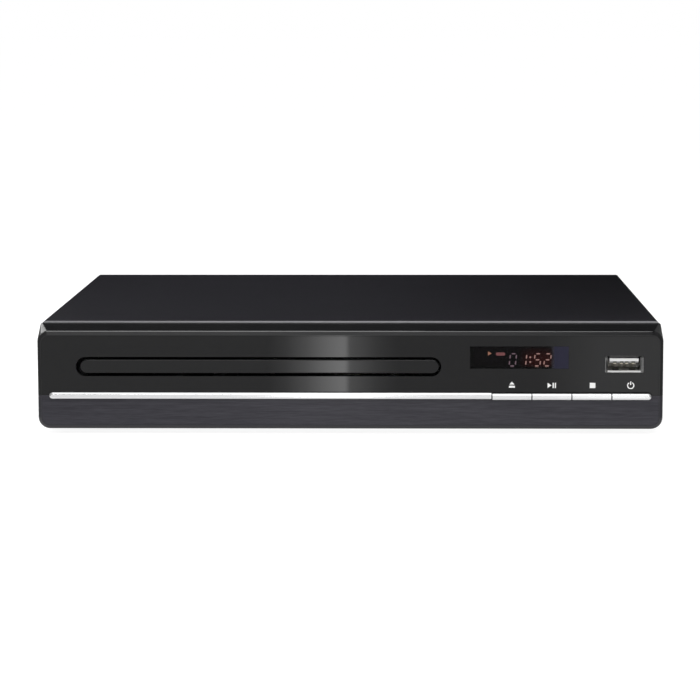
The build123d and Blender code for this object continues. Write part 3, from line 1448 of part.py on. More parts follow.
def build():
    nodes = {
        "front_panel": front_panel(),
        "upper_fascia": upper_fascia(),
        "lower_fascia": lower_fascia(),
        "display_window": display_window(),
        "trim_strip": trim_strip(),
        "front_board": front_board(),
        "key_switches": key_switches(),
        "led_display": led_display(),
        "ir_receiver": ir_receiver(),
        "usb_shell": usb_shell(),
        "usb_tongue": group([usb_tongue(), usb_contacts()]),
        "bottom_chassis": bottom_chassis(),
        "top_cover": top_cover(),
        "case_screws": group([cover_screws(), rear_screws()]),
        "rear_panel": rear_panel(),
        "rubber_feet": rubber_feet(),
        "disc_tray": disc_tray(),
        "tray_bezel": tray_bezel(),
        "loader_frame": loader_frame(),
        "loader_grommets": loader_grommets(),
        "clamp_bridge": clamp_bridge(),
        "clamper": clamper(),
        "clamper_magnet": clamper_magnet(),
        "loading_motor": loading_motor(),
        "motor_pulley": motor_pulley(),
        "pulley_gear": pulley_gear(),
        "drive_gear": drive_gear(),
        "drive_belt": drive_belt(),
        "cam_slider": cam_slider(),
        "traverse_frame": traverse_frame(),
        "sled_bracket": sled_bracket(),
        "sled_motor": sled_motor(),
        "sled_pinion": sled_pinion(),
        "sled_gear": sled_gear(),
        "guide_rods": guide_rods(),
        "pickup_sled": pickup_sled(),
        "lens_holder": lens_holder(),
        "objective_lens": objective_lens(),
        "spindle_motor": spindle_motor(),
        "turntable": turntable(),
        "main_board": main_board(),
        "power_board": power_board(),
        "inner_screws": group([board_screws(), front_board_screws(), loader_screws()]),
        "decoder_chip": decoder_chip(),
        "heat_sink": heat_sink(),
        "power_capacitors": power_capacitors(),
        "power_transformer": power_transformer(),
        "mains_fuse": mains_fuse(),
        "av_jack_block": av_jack_block(),
        "av_jack_barrels": av_jack_barrels(),
        "av_jack_inserts": av_jack_inserts(),
        "hdmi_shell": hdmi_shell(),
        "hdmi_tongue": hdmi_tongue_bar(),
        "mains_inlet": mains_inlet(),
        "inlet_pins": inlet_pins(),
        "flat_cables": group([front_cable(), loader_cable(), power_cable()]),
    }
    for index, name in enumerate(key_names):
        nodes[name + "_button"] = key_button(index)
    return nodes


os.makedirs("parts", exist_ok=True)
for node_name, shape in build().items():
    export_step(shape, f"parts/{node_name}.step")
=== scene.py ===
import math

import bmesh
import bpy
from mathutils import Euler, Matrix, Quaternion, Vector


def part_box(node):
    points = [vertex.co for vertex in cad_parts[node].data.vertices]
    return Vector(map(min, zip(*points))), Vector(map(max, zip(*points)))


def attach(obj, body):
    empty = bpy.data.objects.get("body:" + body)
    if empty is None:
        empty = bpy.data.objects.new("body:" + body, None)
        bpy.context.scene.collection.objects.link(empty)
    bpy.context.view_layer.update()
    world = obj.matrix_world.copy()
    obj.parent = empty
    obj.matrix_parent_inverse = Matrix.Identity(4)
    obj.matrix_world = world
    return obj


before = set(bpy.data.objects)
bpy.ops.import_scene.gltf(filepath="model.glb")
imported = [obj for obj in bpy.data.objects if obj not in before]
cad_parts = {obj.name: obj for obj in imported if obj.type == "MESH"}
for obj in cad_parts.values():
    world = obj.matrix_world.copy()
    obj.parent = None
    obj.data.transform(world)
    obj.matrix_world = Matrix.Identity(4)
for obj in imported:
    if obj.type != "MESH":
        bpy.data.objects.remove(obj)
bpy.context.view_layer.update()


# Chassis pan: the floor of the player, pressed from zinc-plated steel sheet with folded flanges, vents and
# posts. The zinc has pale crystals a few millimetres wide and faint rolling lines from front to back.
class Finish:
    """A surface in the making: one shader, fed by patterns on the piece's own coordinates."""

    def __init__(self, name, **looks):
        self.material = bpy.data.materials.new(name)
        self.material.use_nodes = True
        self.tree = self.material.node_tree
        self.shader = self.tree.nodes["Principled BSDF"]
        self.place = self.add("TexCoord").outputs["Object"]
        self.set(**looks)

    def feed(self, end, value):
        """A pattern is linked to a socket; a plain number or colour is set on it."""
        if isinstance(value, bpy.types.NodeSocket):
            self.tree.links.new(value, end)
        elif end.type == "RGBA":
            end.default_value = (*value, 1.0)
        else:
            end.default_value = value

    def feed_by_name(self, node, inputs):
        """Feeds a node's inputs, named in small letters."""
        for word, value in inputs.items():
            self.feed(next(s for s in node.inputs if s.name.lower().replace(" ", "_") == word), value)

    def add(self, kind, modes=None, **inputs):
        """Adds a node of a kind, with its modes and inputs."""
        made = self.tree.nodes.new("ShaderNode" + kind)
        for word, mode in (modes or {}).items():
            setattr(made, word, mode)
        self.feed_by_name(made, inputs)
        return made

    def set(self, **looks):
        """Sets the shader's own inputs."""
        self.feed_by_name(self.shader, looks)

    def grain(self, size, stretch=(1, 1, 1), detail=3.0):
        """Cloudy shade from 0 to 1, in patches of about a size, drawn out along the axes."""
        drawn_out = self.add("Mapping", vector=self.place, scale=tuple(1 / s for s in stretch)).outputs[0]
        return self.add("TexNoise", vector=drawn_out, scale=1 / size, detail=detail).outputs[0]

    def cells(self, size):
        """One random shade from 0 to 1 for each irregular cell of about a size."""
        made = self.add("TexVoronoi", vector=self.place, scale=1 / size)
        return self.add("SeparateColor", color=made.outputs["Color"]).outputs[0]

    def dots(self, size):
        """Distance from the nearest of many scattered points, in sizes."""
        return self.add("TexVoronoi", vector=self.place, scale=1 / size).outputs["Distance"]

    def bands(self, axis, pitch):
        """Soft stripes across an axis, one to each pitch."""
        wave_length = 2 * math.pi / 20  # of a wave texture whose scale is 1
        modes = {"bands_direction": axis}
        return self.add("TexWave", modes, vector=self.place, scale=wave_length / pitch).outputs["Fac"]

    def along(self, axis):
        """The place along an axis, in metres."""
        return self.add("SeparateXYZ", vector=self.place).outputs[axis]

    def spread(self, value, low, high, start=0.0, end=1.0):
        """A shade between start and end becomes a number between low and high."""
        made = self.add("MapRange", value=value, from_min=start, from_max=end, to_min=low, to_max=high)
        return made.outputs[0]

    def reverse(self, shade):
        """1 where a shade is 0, and 0 where it is 1."""
        return self.spread(shade, 1.0, 0.0)

    def combine(self, operation, first, second):
        """One shade of two, by an operation such as MULTIPLY."""
        made = self.add("Math", {"operation": operation})
        self.feed(made.inputs[0], first)
        self.feed(made.inputs[1], second)
        return made.outputs[0]

    def beyond(self, axis, edge, soft=0.00005):
        """0 on the near side of a plane across an axis, 1 past it."""
        return self.spread(self.along(axis), 0.0, 1.0, edge - soft, edge + soft)

    def between(self, axis, low, high, soft=0.00005):
        """1 between two planes across an axis, 0 outside them."""
        return self.combine("SUBTRACT", self.beyond(axis, low, soft), self.beyond(axis, high, soft))

    def blend(self, share, first, second):
        """The first colour where the share is 0, the second where it is 1."""
        made = self.add("Mix", {"data_type": "RGBA"})
        for end, value in ((made.inputs[0], share), (made.inputs[6], first), (made.inputs[7], second)):
            self.feed(end, value)
        return made.outputs[2]

    def relief(self, height, depth):
        """Raises the surface by a pattern, up to a depth in metres."""
        self.set(normal=self.add("Bump", strength=1.0, distance=depth, height=height).outputs[0])


def dress(finish, *names):
    """Gives a finish to pieces of the frame."""
    for name in names:
        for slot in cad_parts[name].material_slots:
            slot.material = finish.material


zinc_dull, zinc_pale = (0.42, 0.43, 0.44), (0.56, 0.57, 0.58)
zinc_smooth, zinc_rough = 0.36, 0.5
crystal_size, smear_size, rolling_size, rolling_depth = 0.007, 0.03, 0.0005, 0.000012


def zinc_sheet(name, rolled):
    """Zinc-plated sheet, with its rolling lines drawn out along the axes."""
    made = Finish(name, metallic=1.0)
    crystals = made.cells(crystal_size)
    clouds = made.combine("MULTIPLY", crystals, made.grain(smear_size))
    made.set(base_color=made.blend(clouds, zinc_dull, zinc_pale),
             roughness=made.spread(crystals, zinc_smooth, zinc_rough))
    made.relief(made.grain(rolling_size, stretch=rolled), rolling_depth)
    return made


zinc = zinc_sheet("zinc_sheet", rolled=(1, 60, 1))
dress(zinc, "bottom_chassis")


# Feet: four soft rubber buttons, each pushed through the pan by its stem.
# Moulded rubber, dull, with a dusty bloom.
def mottled(name, dark, pale, patch, sheen, smooth, dull, rubbed=(1, 1, 1), pores=None, drawn=(1, 1, 1),
            depth=0.0, **looks):
    """A finish in patches from dark to pale, with patches of sheen from smooth to dull, and any pores."""
    made = Finish(name, **looks)
    made.set(base_color=made.blend(made.grain(patch), dark, pale),
             roughness=made.spread(made.grain(sheen, stretch=rubbed), smooth, dull))
    if pores:
        made.relief(made.grain(pores, stretch=drawn), depth)
    return made


rubber = mottled("soft_rubber", dark=(0.016, 0.016, 0.016), pale=(0.038, 0.037, 0.036), patch=0.004,
                 sheen=0.002, smooth=0.7, dull=0.9, pores=0.0004, depth=0.00003, specular_ior_level=0.3)
dress(rubber, "rubber_feet")


# Circuit boards: the mains board, the main board and the key board. Glass-fibre sheet under green lacquer,
# with copper tracks that show through it as paler lines, and tinned dots where leads are soldered.
lacquer_dark, lacquer_track, tin = (0.008, 0.045, 0.018), (0.016, 0.085, 0.034), (0.55, 0.55, 0.53)
lacquer_patch, lacquer_smooth, lacquer_dull = 0.003, 0.25, 0.45
track_size, print_depth = 0.0032, 0.00003
pad_spacing, pad_core, pad_rim = 0.0026, 0.14, 0.2
board = Finish("lacquered_board")
tracks = board.add("TexBrick", {"offset": 0.37}, vector=board.place, scale=1 / track_size, mortar_size=0.16,
                   brick_width=2.3, row_height=0.8, color1=(0, 0, 0), color2=(0, 0, 0),
                   mortar=(1, 1, 1)).outputs["Fac"]
pads = board.spread(board.dots(pad_spacing), 1.0, 0.0, pad_core, pad_rim)
board.set(base_color=board.blend(pads, board.blend(tracks, lacquer_dark, lacquer_track), tin), metallic=pads,
          roughness=board.spread(board.grain(lacquer_patch), lacquer_smooth, lacquer_dull))
board.relief(board.combine("ADD", pads, tracks), print_depth)
dress(board, "power_board", "main_board", "front_board")


# Capacitors: three aluminium cans in shrunk black sleeves with a pale minus stripe. The crimped top is bare
# metal, and the leads are soldered to the mains board.
sleeve_black, sleeve_stripe, can_metal = (0.012, 0.012, 0.016), (0.42, 0.43, 0.44), (0.62, 0.62, 0.63)
sleeve_patch, sleeve_smooth, sleeve_dull = 0.002, 0.28, 0.42
crease_size, crease_depth = 0.0012, 0.00003
stripe_start, side_slope, top_slope = 0.0036, 0.6, 0.8
can_low, can_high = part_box("power_capacitors")
cans = Finish("sleeved_cans")
stripe = cans.beyond(1, (can_low.y + can_high.y) / 2 + stripe_start)
upright = cans.add("SeparateXYZ", vector=cans.add("NewGeometry").outputs["Normal"]).outputs[2]
bare = cans.spread(upright, 0.0, 1.0, side_slope, top_slope)
sleeve = cans.blend(stripe, sleeve_black, sleeve_stripe)
cans.set(base_color=cans.blend(bare, sleeve, can_metal), metallic=bare,
         roughness=cans.spread(cans.grain(sleeve_patch), sleeve_smooth, sleeve_dull))
cans.relief(cans.grain(crease_size, stretch=(1, 1, 8)), crease_depth)
dress(cans, "power_capacitors")


# Transformer: two dark ferrite halves round a bobbin, soldered to the mains board.
# The winding is bound in yellow polyester tape, put on by hand.
ferrite, tape_deep, tape_light = (0.03, 0.028, 0.027), (0.5, 0.37, 0.06), (0.62, 0.5, 0.1)
tape_patch, tape_width, tape_step = 0.003, 0.0028, 0.00006
gloss_patch, tape_smooth, tape_dull = 0.0015, 0.35, 0.6
overhang = 0.0021
core_low, core_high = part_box("power_transformer")
winding = Finish("taped_winding")
wound = winding.reverse(winding.between(1, core_low.y + overhang, core_high.y - overhang))
tape = winding.blend(winding.grain(tape_patch, stretch=(6, 6, 1)), tape_deep, tape_light)
winding.set(base_color=winding.blend(wound, ferrite, tape),
            roughness=winding.spread(winding.grain(gloss_patch), tape_smooth, tape_dull))
winding.relief(winding.bands("Z", tape_width), tape_step)
dress(winding, "power_transformer")


# Fuse: a sealed glass tube between two nickel caps.
# It is clipped to the mains board by its caps.
fuse_glass, fuse_nickel = (0.3, 0.33, 0.32), (0.6, 0.58, 0.54)
smudge_size, fuse_smooth, fuse_dull = 0.001, 0.08, 0.25
cap_length = 0.0055
fuse_low, fuse_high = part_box("mains_fuse")
fuse = Finish("glass_fuse")
caps = fuse.reverse(fuse.between(0, fuse_low.x + cap_length, fuse_high.x - cap_length))
fuse.set(base_color=fuse.blend(caps, fuse_glass, fuse_nickel), metallic=caps,
         roughness=fuse.spread(fuse.grain(smudge_size), fuse_smooth, fuse_dull))
dress(fuse, "mains_fuse")


# Decoder chip: black moulded epoxy with a faintly rough top.
# It is soldered flat on the main board.
epoxy = mottled("moulded_epoxy", dark=(0.014, 0.014, 0.015), pale=(0.028, 0.028, 0.03), patch=0.002,
                sheen=0.0008, smooth=0.5, dull=0.7, pores=0.0002, depth=0.00002)
dress(epoxy, "decoder_chip")


# Heat sink: a length of extruded aluminium with seven fins, stuck to the chip.
# The die leaves fine lines along the fins.
def marked_metal(name, dark, pale, marks, smooth, dull, depth, drawn=(1, 1, 1), metallic=1.0):
    """A metal whose colour, gloss and relief follow the same fine marks, drawn out along the axes."""
    made = Finish(name, metallic=metallic)
    lines = made.grain(marks, stretch=drawn)
    made.set(base_color=made.blend(lines, dark, pale), roughness=made.spread(lines, smooth, dull))
    made.relief(lines, depth)
    return made


extruded = marked_metal("extruded_aluminium", dark=(0.55, 0.55, 0.57), pale=(0.68, 0.68, 0.69), marks=0.0003,
                        drawn=(1, 80, 1), smooth=0.3, dull=0.46, depth=0.00001)
dress(extruded, "heat_sink")


# Flat cables: tinned copper strips between two white films, with a pitch of one millimetre.
# They are folded over the pan and the boards, and held at both ends.
film_white, film_lead = (0.72, 0.72, 0.7), (0.5, 0.5, 0.5)
film_patch, film_smooth, film_dull = 0.003, 0.3, 0.5
lead_pitch, lead_height = 0.001, 0.00004
film = Finish("flat_cable_film")
leads = film.combine("MULTIPLY", film.bands("X", lead_pitch), film.bands("Y", lead_pitch))
film.set(base_color=film.blend(leads, film_white, film_lead),
         roughness=film.spread(film.grain(film_patch), film_smooth, film_dull))
film.relief(leads, lead_height)
dress(film, "flat_cables")


# Rear panel: one zinc-plated sheet with a row of vents, cut out for the sockets and screwed to the pan and
# the cover. It is the same sheet as the pan, rolled across its width.
dress(zinc_sheet("rear_sheet", rolled=(60, 1, 1)), "rear_panel")


# Sound and picture jacks: one black moulded block with four nickel barrels, soldered to the main board.
# The inserts are coloured by what they carry.
jack_black = mottled("jack_block_plastic", dark=(0.012, 0.012, 0.012), pale=(0.022, 0.022, 0.023),
                     patch=0.003, sheen=0.001, smooth=0.4, dull=0.55, pores=0.0003, depth=0.00002)
dress(jack_black, "av_jack_block")

nickel = mottled("nickel_plate", dark=(0.55, 0.53, 0.49), pale=(0.66, 0.64, 0.6), patch=0.0015, sheen=0.0015,
                 smooth=0.14, dull=0.28, pores=0.0003, drawn=(1, 6, 1), depth=0.000006, metallic=1.0)
dress(nickel, "av_jack_barrels")

yellow, white, red, orange = (0.75, 0.5, 0.02), (0.78, 0.78, 0.75), (0.55, 0.02, 0.02), (0.72, 0.2, 0.02)
grime, grime_share, grime_patch = (0.05, 0.04, 0.03), 0.18, 0.002
insert_patch, insert_smooth, insert_dull = 0.001, 0.3, 0.45
insert_pores, insert_depth = 0.0004, 0.00002
block_low, block_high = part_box("av_jack_block")
block_middle = (block_low + block_high) / 2
inserts = Finish("jack_insert_plastic")
right, upper = inserts.beyond(0, block_middle.x), inserts.beyond(2, block_middle.z)
dyes = inserts.blend(upper, inserts.blend(right, red, white), inserts.blend(right, yellow, orange))
grimed = inserts.spread(inserts.grain(grime_patch), 0.0, grime_share)
inserts.set(base_color=inserts.blend(grimed, dyes, grime),
            roughness=inserts.spread(inserts.grain(insert_patch), insert_smooth, insert_dull))
inserts.relief(inserts.grain(insert_pores), insert_depth)
dress(inserts, "av_jack_inserts")


# Digital video socket: a folded and plated steel shell round a black tongue that carries the contacts.
# It is soldered to the main board and shows through the rear panel.
tongue_black, contact_gilt = (0.012, 0.012, 0.012), (0.5, 0.38, 0.15)
tongue_patch, tongue_smooth, tongue_dull = 0.001, 0.28, 0.45
contact_pitch, contact_start, contact_full = 0.0005, 0.45, 0.55
wear_size, wear_least = 0.02, 0.8
tongue = Finish("socket_tongue")
contacts = tongue.spread(tongue.bands("X", contact_pitch), 0.0, 1.0, contact_start, contact_full)
gilt = tongue.combine("MULTIPLY", contacts, tongue.spread(tongue.grain(wear_size), wear_least, 1.0))
tongue.set(base_color=tongue.blend(gilt, tongue_black, contact_gilt), metallic=gilt,
           roughness=tongue.spread(tongue.grain(tongue_patch), tongue_smooth, tongue_dull))
dress(tongue, "hdmi_tongue")

shell = marked_metal("plated_shell", dark=(0.56, 0.56, 0.56), pale=(0.7, 0.7, 0.69), marks=0.0004,
                     drawn=(12, 12, 1), smooth=0.2, dull=0.34, depth=0.000006)
dress(shell, "hdmi_shell")


# Mains inlet: a black moulded figure-eight socket with two nickel pins.
# It stands on the mains board and shows through the rear panel.
dress(jack_black, "mains_inlet")
dress(nickel, "inlet_pins")


# Loader frame: a deep tub of black filled plastic that carries the whole drive, and the cam slider in it.
# The tub's four lugs sit on rubber grommets.
frame_plastic = mottled("loader_plastic", dark=(0.014, 0.014, 0.015), pale=(0.026, 0.026, 0.028),
                        patch=0.006, sheen=0.0015, smooth=0.45, dull=0.62, pores=0.0004, depth=0.00003)
dress(frame_plastic, "loader_frame", "cam_slider")
dress(rubber, "loader_grommets")


# Motors and belt: three small motors in cases of bright drawn steel, one each for loading, spindle and sled.
# A square rubber belt runs from the loading motor to the pulley gear.
motor_steel = marked_metal("motor_case", dark=(0.5, 0.5, 0.5), pale=(0.64, 0.64, 0.63), marks=0.0006,
                           drawn=(1, 1, 10), smooth=0.22, dull=0.38, depth=0.000008)
dress(motor_steel, "loading_motor", "spindle_motor", "sled_motor")
dress(rubber, "drive_belt")


# Gears and pulley: natural white acetal, moulded, waxy and a little translucent.
# They turn on posts and on the motors' shafts.
acetal = mottled("acetal", dark=(0.72, 0.71, 0.66), pale=(0.8, 0.79, 0.75), patch=0.005, sheen=0.0015,
                 smooth=0.35, dull=0.5, pores=0.0005, depth=0.00001, subsurface_weight=0.15,
                 subsurface_radius=(0.001, 0.001, 0.0008), subsurface_scale=0.5)
dress(acetal, "drive_gear", "pulley_gear", "motor_pulley", "sled_gear", "sled_pinion")


# Traverse: a folded zinc plate that tilts in the loader frame, with two ground steel rods.
# The sled motor's bracket is of the same sheet.
dress(zinc, "traverse_frame", "sled_bracket")

ground = marked_metal("ground_steel", dark=(0.6, 0.6, 0.6), pale=(0.72, 0.72, 0.71), marks=0.0002,
                      drawn=(8, 1, 8), smooth=0.12, dull=0.24, depth=0.000003)
dress(ground, "guide_rods")


# Pickup: a black moulded sled that slides on the rods, with a sprung lens holder.
# The lens is moulded, and its coating looks blue.
dress(frame_plastic, "pickup_sled", "lens_holder")

optic = mottled("coated_lens", dark=(0.45, 0.6, 0.75), pale=(0.55, 0.7, 0.8), patch=0.003, sheen=0.002,
                smooth=0.02, dull=0.06, transmission_weight=0.6, ior=1.5)
dress(optic, "objective_lens")


# Turntable and clamper: the moulded black hub that carries the disc, and the white puck that a ring magnet
# pulls down on to it through the steel bridge.
dress(frame_plastic, "turntable")
dress(acetal, "clamper")
dress(zinc, "clamp_bridge")

ferrous = mottled("sintered_magnet", dark=(0.05, 0.05, 0.05), pale=(0.11, 0.11, 0.11), patch=0.001,
                  sheen=0.0006, smooth=0.5, dull=0.7, pores=0.0003, depth=0.00003, metallic=0.6)
dress(ferrous, "clamper_magnet")


# Disc tray: one black moulding with a recess for the disc, which slides in the loader frame.
# The mould gives it a fine spark texture.
tray_plastic = mottled("tray_plastic", dark=(0.016, 0.016, 0.017), pale=(0.024, 0.024, 0.026), patch=0.008,
                       sheen=0.0005, smooth=0.42, dull=0.6, pores=0.0005, depth=0.00003)
dress(tray_plastic, "disc_tray")


# Inner screws: small screws in bright zinc.
# They hold the boards, the loader and the rear panel.
screw_metal = marked_metal("bright_screws", dark=(0.52, 0.52, 0.5), pale=(0.66, 0.66, 0.64), marks=0.0005,
                           smooth=0.22, dull=0.4, depth=0.00001)
dress(screw_metal, "inner_screws")


# Front panel: one black moulding with a bevel round its face and a shoulder that runs up to the cover. It
# comes from a polished mould, rubbed a little duller by handling. The rim below the strip is sprayed grey to
# match the lower plate.
panel_black, panel_worn, panel_grey = (0.007, 0.007, 0.0076), (0.0098, 0.0098, 0.0105), (0.03, 0.029, 0.0355)
handling_size, panel_smooth, panel_dull = 0.012, 0.1, 0.16
panel_ripple, ripple_depth = 0.0004, 0.0000015
spray_reach, spray_fade = 0.0022, 0.0003
strip_low, strip_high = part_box("trim_strip")
spray_top = (strip_low.z + strip_high.z) / 2
spray_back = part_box("front_panel")[0].y + spray_reach
panel = Finish("moulded_panel", specular_ior_level=0.22)
handling = panel.grain(handling_size)
sprayed = panel.combine("MULTIPLY", panel.reverse(panel.beyond(2, spray_top)),
                        panel.reverse(panel.beyond(1, spray_back, spray_fade)))
panel.set(base_color=panel.blend(sprayed, panel.blend(handling, panel_black, panel_worn), panel_grey),
          roughness=panel.spread(handling, panel_smooth, panel_dull))
panel.relief(panel.grain(panel_ripple), ripple_depth)
dress(panel, "front_panel")


# Upper fascia: a black acrylic plate let into the panel, polished like a mirror. A trace of dust and fine
# rubbing marks from wiping break up its gloss.
wiped = (25, 1, 1)
gloss_black = mottled("gloss_plate", dark=(0.0055, 0.0055, 0.006), pale=(0.0075, 0.0075, 0.008), patch=0.004,
                      sheen=0.0008, rubbed=wiped, smooth=0.03, dull=0.07, specular_ior_level=0.182)
dress(gloss_black, "upper_fascia")


# Lower fascia: a film-faced plate let in below the strip.
# It is brushed with hairlines that run from side to side.
hair_dark, hair_light = (0.027, 0.026, 0.0325), (0.0455, 0.044, 0.053)
hair_size, strand_size, hair_depth = 0.00055, 0.0013, 0.000006
hair_smooth, hair_dull = 0.34, 0.5
brushed = Finish("hairline_plate", specular_ior_level=0.15)
hairs = brushed.grain(hair_size, stretch=(12, 1, 1), detail=4.0)
strands = brushed.grain(strand_size, stretch=(22, 1, 1), detail=5.0)
brushing = brushed.spread(brushed.combine("ADD", hairs, strands), 0.0, 1.0, start=0.7, end=1.3)
brushed.set(base_color=brushed.blend(brushing, hair_dark, hair_light),
            roughness=brushed.spread(brushing, hair_smooth, hair_dull))
brushed.relief(brushing, hair_depth)
dress(brushed, "lower_fascia")


# Tray bezel: the gloss strip on the tray's front that closes the slot.
# It is moulded in black and clips to the tray.
bezel_black = mottled("gloss_bezel", dark=(0.005, 0.005, 0.0055), pale=(0.007, 0.007, 0.0075), patch=0.005,
                      sheen=0.0008, rubbed=wiped, smooth=0.03, dull=0.08, specular_ior_level=0.2)
dress(bezel_black, "tray_bezel")


# Silver strip and keys: one half-round line in satin plated plastic, cut into a fixed strip and four keys
# that snap through the panel.
plating = marked_metal("satin_plating", dark=(0.53, 0.53, 0.535), pale=(0.59, 0.59, 0.595), marks=0.0006,
                       drawn=(20, 1, 1), smooth=0.2, dull=0.3, depth=0.000001)
dress(plating, "trim_strip", "eject_button", "play_button", "stop_button", "power_button")


# Key switches, digit display and remote receiver: small moulded parts soldered to the key board. The display
# and the receiver stand behind the window, and the display's face glows red round its lit digits.
dress(jack_black, "key_switches")

face_dark, face_pale = (0.012, 0.012, 0.013), (0.02, 0.02, 0.022)
glow_dim, glow_red, glow_strength = (0.03, 0.012, 0.012), (1.0, 0.07, 0.03), 0.2
face_patch, face_sheen, face_smooth, face_dull = 0.003, 0.001, 0.4, 0.55
glow_left, glow_right, glow_foot, glow_top = 0.0672, 0.0788, 0.0258, 0.0318
glow_side_fade, glow_end_fade = 0.0026, 0.002
display = Finish("display_face", emission_strength=glow_strength)
lit_area = display.combine("MULTIPLY", display.between(0, glow_left, glow_right, glow_side_fade),
                           display.between(2, glow_foot, glow_top, glow_end_fade))
display.set(base_color=display.blend(display.grain(face_patch), face_dark, face_pale),
            roughness=display.spread(display.grain(face_sheen), face_smooth, face_dull),
            emission_color=display.blend(lit_area, glow_dim, glow_red))
dress(display, "led_display")

receiver = mottled("receiver_epoxy", dark=(0.03, 0.028, 0.06), pale=(0.05, 0.045, 0.09), patch=0.002,
                   sheen=0.001, smooth=0.15, dull=0.3, specular_ior_level=0.4)
dress(receiver, "ir_receiver")


# Display window: a smoked acrylic plate, clear enough for the digits to shine through. Its right end is a
# duller violet, in front of the remote receiver.
smoke, violet = (0.07, 0.068, 0.082), (0.029, 0.028, 0.052)
violet_start, violet_fade, violet_clearness = 0.0779, 0.0008, 0.25
smear_patch, window_smooth, window_dull = 0.004, 0.02, 0.05
window = Finish("smoked_window", ior=1.15)
violet_part = window.beyond(0, violet_start, violet_fade)
window.set(base_color=window.blend(violet_part, smoke, violet),
           transmission_weight=window.spread(violet_part, 1.0, violet_clearness),
           roughness=window.spread(window.grain(smear_patch), window_smooth, window_dull))
dress(window, "display_window")


# Lit digits: seven-segment bars on the face of the display, slanted as they are on the part, with a colon,
# the play arrow and a plain lit mark. The leading digit is unlit and shows greyish by a faint painted glow.
def built(name, mesh, finish):
    """Makes an object of a mesh and a finish."""
    made = bpy.data.objects.new(name, bpy.data.meshes.new(name))
    mesh.to_mesh(made.data)
    mesh.free()
    made.data.materials.append(finish.material)
    bpy.context.scene.collection.objects.link(made)
    return made


def piece(name, mesh, finish):
    """Makes a mesh a piece of the player that rides on the chassis."""
    made = built(name, mesh, finish)
    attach(made, "chassis")


def bar(mesh, x, z, width, height, y, depth):
    """Adds an upright block, its front at y."""
    made = bmesh.ops.create_cube(mesh, size=1.0)["verts"]
    bmesh.ops.scale(mesh, vec=(width, depth, height), verts=made)
    bmesh.ops.translate(mesh, vec=(x, y + depth / 2, z), verts=made)
    return made


def dot(mesh, x, z, radius, y, depth, sides, turn=0.0):
    """Adds a plate with equal sides, round if they are many, its front at y."""
    upright = Matrix.Rotation(turn, 4, "Y") @ Matrix.Rotation(math.pi / 2, 4, "X")
    place = Matrix.Translation((x, y + depth / 2, z)) @ upright
    made = bmesh.ops.create_cone(mesh, cap_ends=True, segments=sides, radius1=radius, radius2=radius,
                                 depth=depth, matrix=place)
    return made["verts"]


def cut_corners(mesh, offset, steps):
    """Bevels the edges of the bars that run from front to back."""
    corners = [e for e in mesh.edges if abs(e.verts[0].co.y - e.verts[1].co.y) > bar_depth / 2]
    bmesh.ops.bevel(mesh, geom=corners, offset=offset, affect="EDGES", segments=steps, profile=0.5,
                    material=-1)


bar_depth = 0.00008
lit_layer = (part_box("led_display")[0].y - bar_depth, bar_depth)
digit_width, digit_height, stroke, slant = 0.00235, 0.00468, 0.00046, 0.11
digit_foot = 0.02636
end_gaps, point_length = stroke * 1.9, stroke * 0.4
segments = {"0": "abcdef", "1": "bc", "2": "abged", "5": "afgcd"}
middles = {"a": (0.5, 2), "b": (1, 1.5), "c": (1, 0.5), "d": (0.5, 0), "e": (0, 0.5), "f": (0, 1.5),
           "g": (0.5, 1)}


def digit(mesh, figure, left):
    """Adds the bars of one figure, its lower left corner at left."""
    half = digit_height / 2
    for letter in segments[figure]:
        across, up = middles[letter]
        level = letter in "adg"
        size = (digit_width - end_gaps, stroke) if level else (stroke, half - end_gaps)
        bar(mesh, left + across * digit_width, digit_foot + up * half, *size, *lit_layer)


def point_and_slant(mesh):
    """Cuts the bars' ends to points and leans the figures over."""
    cut_corners(mesh, point_length, 1)
    lean = Matrix.Identity(4)
    lean[0][2] = slant
    lean[0][3] = -slant * digit_foot
    bmesh.ops.transform(mesh, matrix=lean, verts=mesh.verts)


plastic_patch, light_patch = 0.0004, 0.0006


def lit_plastic(name, strength, plastic, light):
    """A plastic that shines, given by two shades of its body and two of its light."""
    made = Finish(name, roughness=0.5, emission_strength=strength)
    made.set(base_color=made.blend(made.grain(plastic_patch), *plastic),
             emission_color=made.blend(made.grain(light_patch), *light))
    return made


glow = lit_plastic("lit_bars", 4.4, plastic=((0.2, 0.03, 0.01), (0.26, 0.05, 0.02)),
                   light=((1.0, 0.54, 0.38), (1.0, 0.66, 0.5)))
colon_x, colon_rises, colon_radius = 0.06935, (0.0015, 0.00332), 0.00036
lit_figures = (("1", 0.06518), ("5", 0.07068), ("2", 0.07454))
lit = bmesh.new()
for figure, left in lit_figures:
    digit(lit, figure, left)
point_and_slant(lit)
for rise in colon_rises:
    dot(lit, colon_x, digit_foot + rise, colon_radius, *lit_layer, sides=12)
piece("lit_digits", lit, glow)

amber = lit_plastic("lit_arrow", 4.0, plastic=((0.24, 0.08, 0.02), (0.3, 0.1, 0.03)),
                    light=((1.0, 0.46, 0.24), (1.0, 0.54, 0.32)))
arrow_x, arrow_z, arrow_radius = 0.05355, 0.03115, 0.00095
arrow = bmesh.new()
dot(arrow, arrow_x, arrow_z, arrow_radius, *lit_layer, sides=3, turn=math.pi / 2)
piece("lit_arrow", arrow, amber)

ruby = lit_plastic("lit_mark", 2.3, plastic=((0.2, 0.05, 0.04), (0.26, 0.07, 0.05)),
                   light=((1.0, 0.34, 0.28), (1.0, 0.46, 0.4)))
mark_left, mark_right, mark_z, mark_height = 0.0561, 0.0597, 0.03092, 0.0012
mark = bmesh.new()
bar(mark, (mark_left + mark_right) / 2, mark_z, mark_right - mark_left, mark_height, *lit_layer)
cut_corners(mark, mark_height * 0.48, 6)
piece("lit_mark", mark, ruby)
